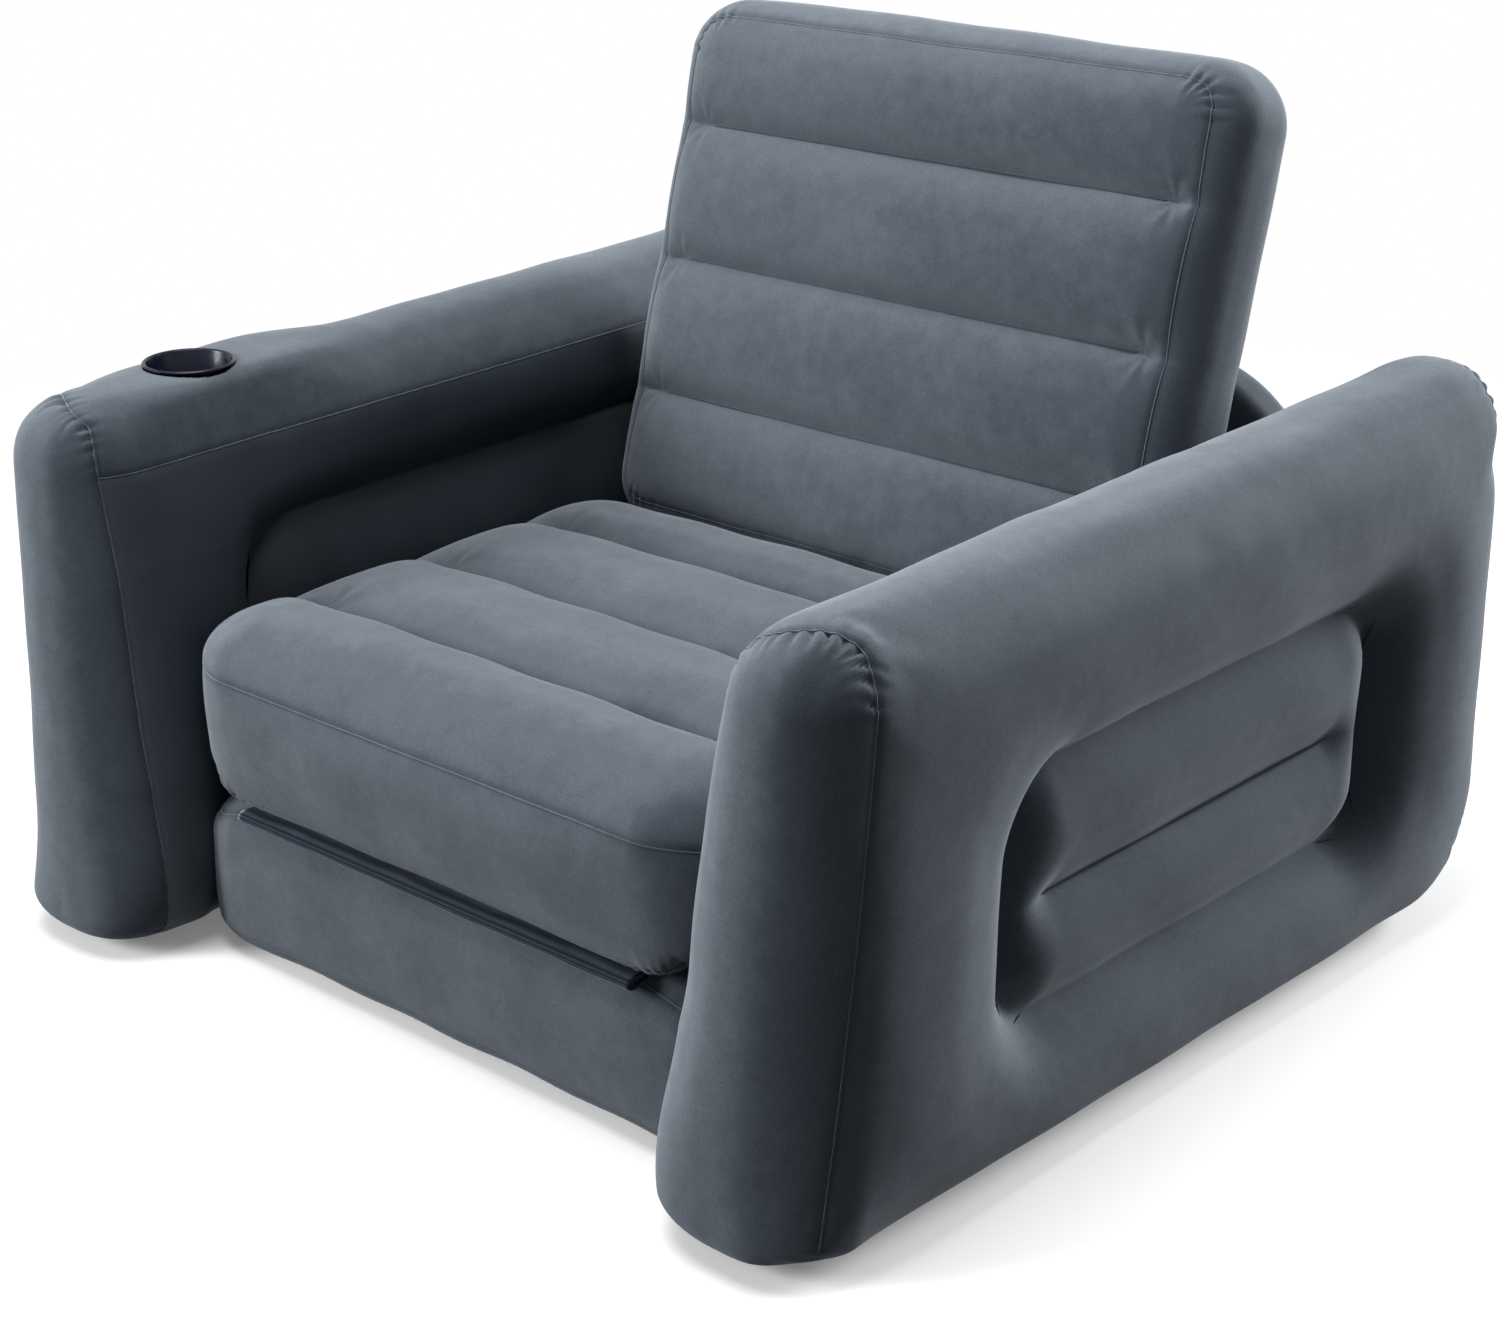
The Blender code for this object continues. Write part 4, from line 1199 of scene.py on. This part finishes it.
    def open_cup(self, skin: Skin) -> np.ndarray:
        """Rounds the edge of the hole for the cup holder, and gives which faces lie over it."""
        centre = np.array(CUP_PLACE)
        offset = skin.points[:, :2] - centre
        distance = np.linalg.norm(offset, axis=1)
        over = (skin.points[:, 2] > self.height - 0.1) & (distance < self.cup_hole)
        opened = over[skin.faces].any(axis=1)
        border = np.zeros(len(skin.points), bool)
        border[skin.faces[opened].ravel()] = True
        border &= ~over
        skin.points[border, :2] = centre + offset[border] * (self.cup_edge / distance[border])[:, None]
        return opened


@dataclass
class Cushion:
    """A flocked cushion with a row of channels, such as the seat, the backrest or the base."""

    name: str
    body: str
    replaced: tuple[str, ...]
    low: Place
    high: Place
    low_rounds: Place
    high_rounds: Place
    creases: tuple[float, ...]
    top_depth: float
    bottom_depth: float
    turn: Matrix = field(default_factory=Matrix)
    crown_drop: float = 0.006
    side_belly: float = 0.010
    end_belly: float = 0.006
    crease_end: float = 0.085
    edge_crease: float = 0.45
    wrinkles: int = 7
    wrinkle_reach: float = 0.022
    wrinkle_height: float = 0.0011
    scallop: float = 0.55
    weld_levels: tuple[float, ...] = ()
    face_inset: Optional[Place] = None
    droop: float = 0.0
    corner_drop: float = 0.0
    lower_power: float = 2.0
    weld_depth: float = 0.0014
    coarseness: float = 3.2
    pressure: float = 4.0
    cap: float = 0.009
    gathers: float = 0.0022

    def spans(self) -> tuple[Span, ...]:
        """The block that the cushion is shaped from."""
        marks = ((), self.creases, self.weld_levels)
        if self.face_inset is not None:
            side, lower, upper = self.face_inset
            edges = (self.low[0] + side, self.high[0] - side)
            marks = (edges, (*self.creases, self.low[1] + lower, self.high[1] - upper), ())
        sizes = (self.low, self.high, self.low_rounds, self.high_rounds, marks)
        return tuple(Span(*ends) for ends in zip(*sizes))

    def shape(self, place: np.ndarray, direction: np.ndarray) -> np.ndarray:
        """Sinks the creases, swells the sides and lets the lower front edge hang.

        Args:
            place: points of the block.
            direction: their outward directions.

        Returns:
            The new places.
        """
        side, back, up = direction.T
        (_, y0, z0), (x1, y1, z1) = self.low, self.high
        radii = np.where(direction > 0, self.high_rounds, self.low_rounds)
        below = smooth(-up, 0.0, 0.5) * (1 - smooth(np.abs(side), 0.1, 0.5))
        x, y, z = (place + squarer(direction, radii, 2.0 + (self.lower_power - 2.0) * below)).T
        share = channel_share(y, self.creases, y0 + self.low_rounds[1], y1 - self.high_rounds[1])
        share *= 1 - (1 - self.edge_crease) * smooth(np.abs(x), x1 - self.crease_end, x1)
        swell = belly(z, z0, z1)
        sunk = np.maximum(up, 0) ** 2 * (self.top_depth * share + self.crown_drop * (x / x1) ** 2)
        sunk -= np.maximum(-up, 0) ** 2 * self.bottom_depth * share
        lower = (1 - smooth(z, z0, (z0 + z1) / 2)) * (1 - smooth(np.abs(x), x1 - 0.110, x1))
        sunk += self.droop * (1 - smooth(y, y0, y0 + 0.060)) * lower
        corner = smooth(np.abs(x), x1 - 0.130, x1) * (1 - smooth(y, y0, y0 + 0.160))
        sunk += self.corner_drop * corner * (z - z0) / (z1 - z0)
        moved_x = x + side * np.abs(side) * self.side_belly * swell * (1 - self.scallop * share)
        moved_y = y + back * np.abs(back) * self.end_belly * swell
        return np.stack([moved_x, moved_y, z - sunk], axis=1)

    def loop(self, level: float, side: float = 0.0, lower: float = 0.0, upper: float = 0.0) -> list[Place]:
        """A weld round the cushion at one level, moved in from its sides and its two ends."""
        x0, x1 = self.low[0] + side, self.high[0] - side
        y0, y1 = self.low[1] + lower, self.high[1] - upper
        return [(x0, y0, level), (x1, y0, level), (x1, y1, level), (x0, y1, level)]

    def corner_gathers(self, track: Track) -> list[Gather]:
        """Rows of folds where a weld turns its four corners."""
        arc = travelled(track.points)
        ahead = unit(np.diff(track.points, axis=0))
        stretch, clear = 12, 0.20
        bend = 1 - (ahead[:-stretch] * ahead[stretch:]).sum(axis=1)
        found = []
        for _ in range(4):
            place = float(arc[int(bend.argmax()) + stretch // 2])
            found.append(Gather(place, 0.045, self.gathers, 0.0135, 0.014))
            bend[np.abs(arc[: len(bend)] - place) < clear] = 0
        return found

    def held(self, own: np.ndarray) -> np.ndarray:
        """How firmly the webs and the floor hold each point, from its unrolled place."""
        gap = np.abs(own[:, 1][:, None] - np.array(self.creases)).min(axis=1)
        floor = own[:, 2] == self.low[2]
        webs = ((own[:, 2] == self.high[2]) | floor) * hill(gap, 0.012)
        return np.maximum(webs, floor) if self.face_inset is None else webs

    def build(self, wardrobe: Wardrobe) -> None:
        """Makes the cushion's skin and beads.

        Args:
            wardrobe: the materials.
        """
        skin = Skin(self.spans(), self.shape, self.turn)
        light = Skin(self.spans(), self.shape, self.turn, self.coarseness)
        skin.inflate(light, self.held(light.lattice.unrolled), self.pressure, self.cap)
        skin.push(0.0010 * ripple(skin.points, 0.14, len(self.name)))
        wrinkles = (self.wrinkles, self.wrinkle_reach, self.wrinkle_height)
        for number, crease in enumerate(self.creases):
            for sign in (-1, 1):
                end = np.array([[sign * (self.high[0] - self.crease_end * 0.9), crease, self.high[2]]])
                skin.fan(skin.placed(end)[0], *wrinkles, seed=20 + number + sign)
        tracks = [skin.trace(self.loop(level), closed=True, soften=40) for level in self.weld_levels]
        if self.face_inset is not None:
            loops = [self.loop(level, *self.face_inset) for level in (self.high[2], self.low[2])]
            tracks += [skin.trace(loop, closed=True, soften=90) for loop in loops]
        for number, track in enumerate(tracks):
            skin.weld(track, self.weld_depth, 0.0045, self.corner_gathers(track), 30 + number)
        wardrobe.pad(skin.piece(f"{self.name}_skin"), self.body, wardrobe.flock, self.replaced)
        for number, track in enumerate(tracks, 1):
            wardrobe.bead_along(f"{self.name}_weld_{number}", skin, track, self.body)


@dataclass
class RearWall(Cushion):
    """The wall of air behind the backrest, with one crease across its front.

    Its weld levels are places along Y, because its welds run round its front and rear faces.
    """

    crease_height: float = 0.300
    rear_belly: float = 0.006

    def shape(self, place: np.ndarray, direction: np.ndarray) -> np.ndarray:
        """Sinks the crease of the front face and swells the rear face a little."""
        x, y, z = place.T
        back = direction[:, 1]
        crests = (self.low[2] + self.low_rounds[2], self.high[2] - self.high_rounds[2])
        sunk = np.maximum(-back, 0) ** 2 * self.top_depth * channel_share(z, (self.crease_height,), *crests)
        swell = belly(x, self.low[0], self.high[0]) * belly(z, self.low[2], self.high[2])
        return np.stack([x, y + sunk + np.maximum(back, 0) ** 2 * self.rear_belly * swell, z], axis=1)

    def held(self, own: np.ndarray) -> np.ndarray:
        """How firmly the web and the base hold each point, from its unrolled place."""
        web = hill(own[:, 2] - self.crease_height, 0.012) * (own[:, 1] == self.low[1])
        return np.maximum(web, own[:, 2] < 0.2)

    def loop(
        self, level: float, side: float = 0.075, lower: float = 0.020, upper: float = 0.060
    ) -> list[Place]:
        """The weld round the front or the rear face, picked by its place along Y."""
        x0, x1 = self.low[0] + side, self.high[0] - side
        z0, z1 = self.low[2] + lower, self.high[2] - upper
        return [(x0, level, z0), (x0, level, z1), (x1, level, z1), (x1, level, z0)]


@dataclass
class CupHolder:
    """The moulded cup in the left arm's top."""

    rim_top: float = 0.605672
    rim_thickness: float = 0.002
    mouth: float = 0.046
    foot: float = 0.039
    depth: float = 0.085
    wall: float = 0.0016
    rim_width: float = 0.0036
    hub_share: float = 0.6
    edge: float = 0.0005
    sides: int = 96

    def rings(self) -> list[tuple[float, float]]:
        """Radius and height of each ring, from the middle below, round the rim and down inside."""
        outside = self.mouth + self.wall
        rim = outside + self.rim_width
        rim_bottom = self.rim_top - self.rim_thickness
        floor = self.rim_top - self.depth
        hub = self.foot * self.hub_share
        # The small steps round the foot, the rim and the floor
        return [
            (hub, floor - self.wall),
            (self.foot + self.wall - 0.003, floor - self.wall),
            (self.foot + self.wall, floor + 0.002),
            (outside, rim_bottom),
            (rim - 0.0004, rim_bottom),
            (rim, rim_bottom + 0.0006),
            (rim - 0.0012, self.rim_top - 0.0003),
            (self.mouth + 0.0030, self.rim_top + 0.0004),
            (self.mouth + 0.0010, self.rim_top - 0.0004),
            (self.mouth, self.rim_top - 0.0022),
            (self.foot + 0.0006, floor + 0.004),
            (self.foot - 0.0040, floor),
            (hub, floor + 0.0006),
        ]

    def build(self, wardrobe: Wardrobe) -> None:
        """Models the cup from a circle, ring by ring.

        Args:
            wardrobe: the materials.
        """
        deselect()
        (radius, height), *others = self.rings()
        bpy.ops.mesh.primitive_circle_add(
            vertices=self.sides, radius=radius, fill_type="NGON", location=(*CUP_PLACE, height)
        )
        cup = bpy.context.object
        cup.name = "cup_liner"
        bpy.ops.object.mode_set(mode="EDIT")
        for after, level in others:
            bpy.ops.mesh.extrude_edges_move(TRANSFORM_OT_translate={"value": (0, 0, level - height)})
            change = after / radius
            bpy.ops.transform.resize(value=(change, change, 1), center_override=(*CUP_PLACE, level))
            radius, height = after, level
        bpy.ops.mesh.edge_face_add()
        bpy.ops.mesh.select_all(action="SELECT")
        bpy.ops.mesh.normals_make_consistent(inside=False)
        bpy.ops.object.mode_set(mode="OBJECT")
        cup.data.transform(cup.matrix_world)
        cup.matrix_world = Matrix()
        cup.data.shade_smooth()
        apply(cup, "BEVEL", width=self.edge, segments=2, limit_method="ANGLE")
        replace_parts(wardrobe.dress(cup, "frame", *wardrobe.plastic), "cup_holder")


@dataclass
class HingeStrip:
    """A strip of layered fabric that joins two chambers."""

    name: str
    bodies: tuple[str, str]
    replaced: tuple[str, ...]
    profile: tuple[tuple[float, float], ...]
    bend: tuple[Place, Place]
    half_width: float = 0.290
    thickness: float = 0.0012
    layers: int = 1
    layer_gap: float = 0.0026
    waviness: float = 0.0004
    rows: int = 25
    columns: int = 117

    def line(self, out: float) -> np.ndarray:
        """The eased profile of one layer, moved out from the innermost by a distance."""
        knots = np.array(self.profile)
        knots[1:-1, 0] -= out
        knots[: len(knots) // 2, 1] -= out / 2
        knots[(len(knots) + 1) // 2 :, 1] += out / 2
        return eased(evenly(knots, self.rows), 6)

    def build(self, wardrobe: Wardrobe) -> None:
        """Sweeps the profile across the chair and gives it a thickness.

        Args:
            wardrobe: the materials.
        """
        verts, faces = [], []
        for layer in range(self.layers):
            line = self.line(layer * self.layer_gap)
            across = np.linspace(-self.half_width, self.half_width, self.columns)
            points = np.array([(x, y, z) for x in across for y, z in line])
            points[:, 1:] += self.waviness * ripple(points, 0.05, 4 + layer)[:, None]
            verts.append(points)
            for a in range(self.columns - 1):
                for b in range(self.rows - 1):
                    n = (layer * self.columns + a) * self.rows + b
                    faces.append([n, n + self.rows, n + self.rows + 1, n + 1])
        strip = mesh_object(self.name, np.concatenate(verts), faces)
        deselect()
        apply(strip, "SOLIDIFY", thickness=self.thickness, offset=0.0)
        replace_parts(wardrobe.dress(strip, None, *wardrobe.hinge), *self.replaced)
        length = float(travelled(self.line(0.0))[-1]) * self.layers
        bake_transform(strip)


# Studio


@dataclass(frozen=True)
class Lamp:
    """A soft square light."""

    name: str
    place: Place
    aim: Place
    size: float
    power: float

    def build(self) -> None:
        """Adds the light and points it at its aim."""
        data = bpy.data.lights.new(self.name, "AREA")
        data.shape = "SQUARE"
        data.size = self.size
        data.energy = self.power
        made = bpy.data.objects.new(self.name, data)
        bpy.context.scene.collection.objects.link(made)
        made.location = self.place
        made.rotation_euler = (Vector(self.aim) - made.location).to_track_quat("-Z", "Y").to_euler()


@dataclass
class Studio:
    """Floor, lights, backdrop and camera."""

    camera_place: Place = (2.040, -2.1845, 1.440)
    pitch: float = 21.0
    yaw: float = 43.0
    roll: float = -0.6
    lens: float = 70.8
    floor_size: float = 60.0
    floor_fade: tuple[float, float] = (1.0, 2.6)
    floor_glow: float = 0.16
    floor_bounce: tuple[float, float, float, float] = (0.05, 0.05, 0.053, 1.0)
    dim_colour: tuple[float, float, float, float] = (0.98, 0.99, 1.0, 1.0)
    dim_strength: float = 0.22
    lamps: tuple[Lamp, ...] = (
        Lamp("left_softbox", (-4.1, -6.2, 3.0), (0.0, 0.0, 0.35), 2.6, 540),
        Lamp("right_softbox", (1.9, 3.6, 1.6), (0.2, 0.0, 0.35), 1.8, 215),
        Lamp("top_softbox", (0.0, -0.6, 2.9), (0.0, 0.0, 0.0), 1.8, 66),
    )

    def build(self) -> None:
        """Makes the floor, the lights, the backdrop and the camera."""
        bpy.context.scene.view_settings.view_transform = "Standard"
        self.floor()
        for lamp in self.lamps:
            lamp.build()
        self.backdrop()
        self.camera()

    def floor(self) -> None:
        """A floor that is white where it is seen, keeps the shadow and fades out with distance."""
        deselect()
        bpy.ops.mesh.primitive_plane_add(size=self.floor_size, location=(0, 0, 0))
        floor = bpy.context.object
        floor.name = "floor"
        graph = Graph(bpy.data.materials.new("pale floor"))
        tone = graph.range(graph.noise(3.0), 0.3, 0.7, 0.0, 1.0)
        pale = graph.mix(tone, linear(251, 251, 251), linear(253, 253, 253))
        seen = graph.seen()
        colour = graph.mix(seen, self.floor_bounce, pale)
        material = graph.finish({"Base Color": colour, "Roughness": 0.9, "Specular IOR Level": 0.0})
        glow = graph.node("Emission", 0, {"Strength": graph.math("MULTIPLY", seen, self.floor_glow)})
        lit = graph.node("AddShader", 0, {0: graph.shader.outputs[0], 1: glow})
        distance = graph.node("VectorMath", "Value", {0: graph.place}, operation="LENGTH")
        faded = graph.range(distance, *self.floor_fade, 0.0, 1.0)
        graph.blend(faded, lit, graph.node("BsdfTransparent", 0), "Material Output")
        floor.data.materials.append(material)

    def backdrop(self) -> None:
        """A white world where it is seen, and a dimmer one that lights the chair."""
        world = bpy.data.worlds.new("studio")
        bpy.context.scene.world = world
        graph = Graph(world, "Background")
        graph.finish({"Color": self.dim_colour, "Strength": self.dim_strength})
        white = graph.node("Background", 0, {"Color": (1, 1, 1, 1), "Strength": 1.0})
        graph.blend(graph.seen(), graph.shader.outputs[0], white, "World Output")

    def camera(self) -> None:
        """The camera at the photograph's angle."""
        p, y, r = [math.radians(value) for value in (self.pitch, self.yaw, self.roll)]
        ahead = Vector((-math.sin(y) * math.cos(p), math.cos(y) * math.cos(p), -math.sin(p)))
        right = Vector((math.cos(y), math.sin(y), 0.0))
        down = ahead.cross(right)
        turned_right = right * math.cos(r) - down * math.sin(r)
        turned_down = right * math.sin(r) + down * math.cos(r)
        columns = Matrix((turned_right, -turned_down, -ahead)).transposed().to_4x4()
        data = bpy.data.cameras.new("camera")
        data.lens = self.lens
        data.sensor_width = 36.0
        made = bpy.data.objects.new("camera", data)
        bpy.context.scene.collection.objects.link(made)
        made.matrix_world = Matrix.Translation(self.camera_place) @ columns
        bpy.context.scene.camera = made


def dress_cad(frame: dict, wardrobe: Wardrobe) -> None:
    """Gives the CAD nodes that stay their materials.

    Args:
        wardrobe: the materials.
    """
    for name, node in frame["nodes"].items():
        wardrobe.cover(node, wardrobe.valve if "valve" in name and "flap" not in name else wardrobe.film)


def chair_parts() -> list[Arm | Cushion | CupHolder | HingeStrip]:
    """The chair's sub-assemblies, in the order they are built."""
    base = Cushion(
        "base",
        "frame",
        ("base_top_sheet", "base_side_band", "base_bottom_sheet"),
        low=(-0.3940, -0.4625, 0.0),
        high=(0.3940, 0.4120, 0.1972),
        low_rounds=(0.070, 0.050, 0.045),
        high_rounds=(0.070, 0.050, 0.045),
        creases=(-0.3225, -0.1495, 0.0235, 0.1965),
        top_depth=0.022,
        bottom_depth=0.0,
        crown_drop=0.0,
        side_belly=0.008,
        end_belly=0.005,
        corner_drop=0.026,
        weld_levels=(0.1870, 0.0200),
        cap=0.004,
    )
    wall = RearWall(
        "rear_wall",
        "frame",
        ("rear_wall_front_sheet", "rear_wall_band", "rear_wall_rear_sheet"),
        low=(-0.3940, 0.4130, 0.0),
        high=(0.3940, 0.5632, 0.585),
        low_rounds=(0.160, 0.064, 0.064),
        high_rounds=(0.215, 0.064, 0.165),
        creases=(),
        top_depth=0.016,
        bottom_depth=0.0,
        weld_levels=(0.4130, 0.5632),
        cap=0.003,
    )
    seat = Cushion(
        "seat",
        "seat",
        ("seat_top_sheet", "seat_side_band", "seat_bottom_sheet"),
        low=(-0.391, -0.4725, 0.1982),
        high=(0.391, 0.1525, 0.3938),
        low_rounds=(0.098, 0.085, 0.040),
        high_rounds=(0.098, 0.085, 0.062),
        creases=(-0.3225, -0.1495, 0.0235),
        top_depth=0.027,
        bottom_depth=0.012,
        side_belly=0.016,
        end_belly=0.009,
        weld_levels=(0.3318, 0.2080),
        droop=0.020,
        lower_power=3.5,
        gathers=0.0045,
        cap=0.010,
    )
    back = Cushion(
        "backrest",
        "back",
        ("back_front_sheet", "back_side_band", "back_rear_sheet"),
        low=(-0.387, 0.002, -0.136),
        high=(0.387, 0.632, 0.022),
        low_rounds=(0.070, 0.066, 0.062),
        high_rounds=(0.070, 0.066, 0.062),
        creases=(0.168, 0.325, 0.482),
        top_depth=0.023,
        bottom_depth=0.012,
        turn=Matrix.Translation((0.0, 0.1585, 0.33165)) @ Matrix.Rotation(math.radians(74), 4, "X"),
        side_belly=0.004,
        end_belly=0.002,
        crease_end=0.060,
        edge_crease=0.15,
        face_inset=(0.014, 0.022, 0.006),
        gathers=0.0042,
    )
    lower = ((-0.4400, 0.1860), (-0.4560, 0.1790), (-0.4720, 0.1770))
    upper = ((-0.4745, 0.1800), (-0.4720, 0.1835), (-0.4440, 0.1870))
    front_hinge = HingeStrip(
        "front_hinge_strip",
        ("frame", "seat"),
        ("base_hinge_strip", "seat_hinge_strip"),
        profile=(*lower, *upper),
        bend=((0.0, -0.4725, 0.1775), (0.0, -0.4725, 0.1830)),
        layers=3,
    )
    back_hinge = HingeStrip(
        "back_hinge_strip_fabric",
        ("seat", "back"),
        ("seat_rear_hinge_strip", "back_hinge_strip"),
        profile=((0.1500, 0.3318), (0.1585, 0.3318), (0.1620, 0.3460)),
        bend=((0.0, 0.1545, 0.3318), (0.0, 0.1605, 0.3318)),
    )
    return [Arm(Side.LEFT), Arm(Side.RIGHT), CupHolder(), base, wall, seat, back, front_hinge, back_hinge]


def main() -> None:
    """Loads the frame and builds the chair and the studio."""
    logging.basicConfig(level=logging.INFO, format="%(message)s")
    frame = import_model()
    wardrobe = Wardrobe()
    dress_cad(frame, wardrobe)
    for part in chair_parts():
        part.build(wardrobe)
    Studio().build()


if __name__ == "__main__":
    main()
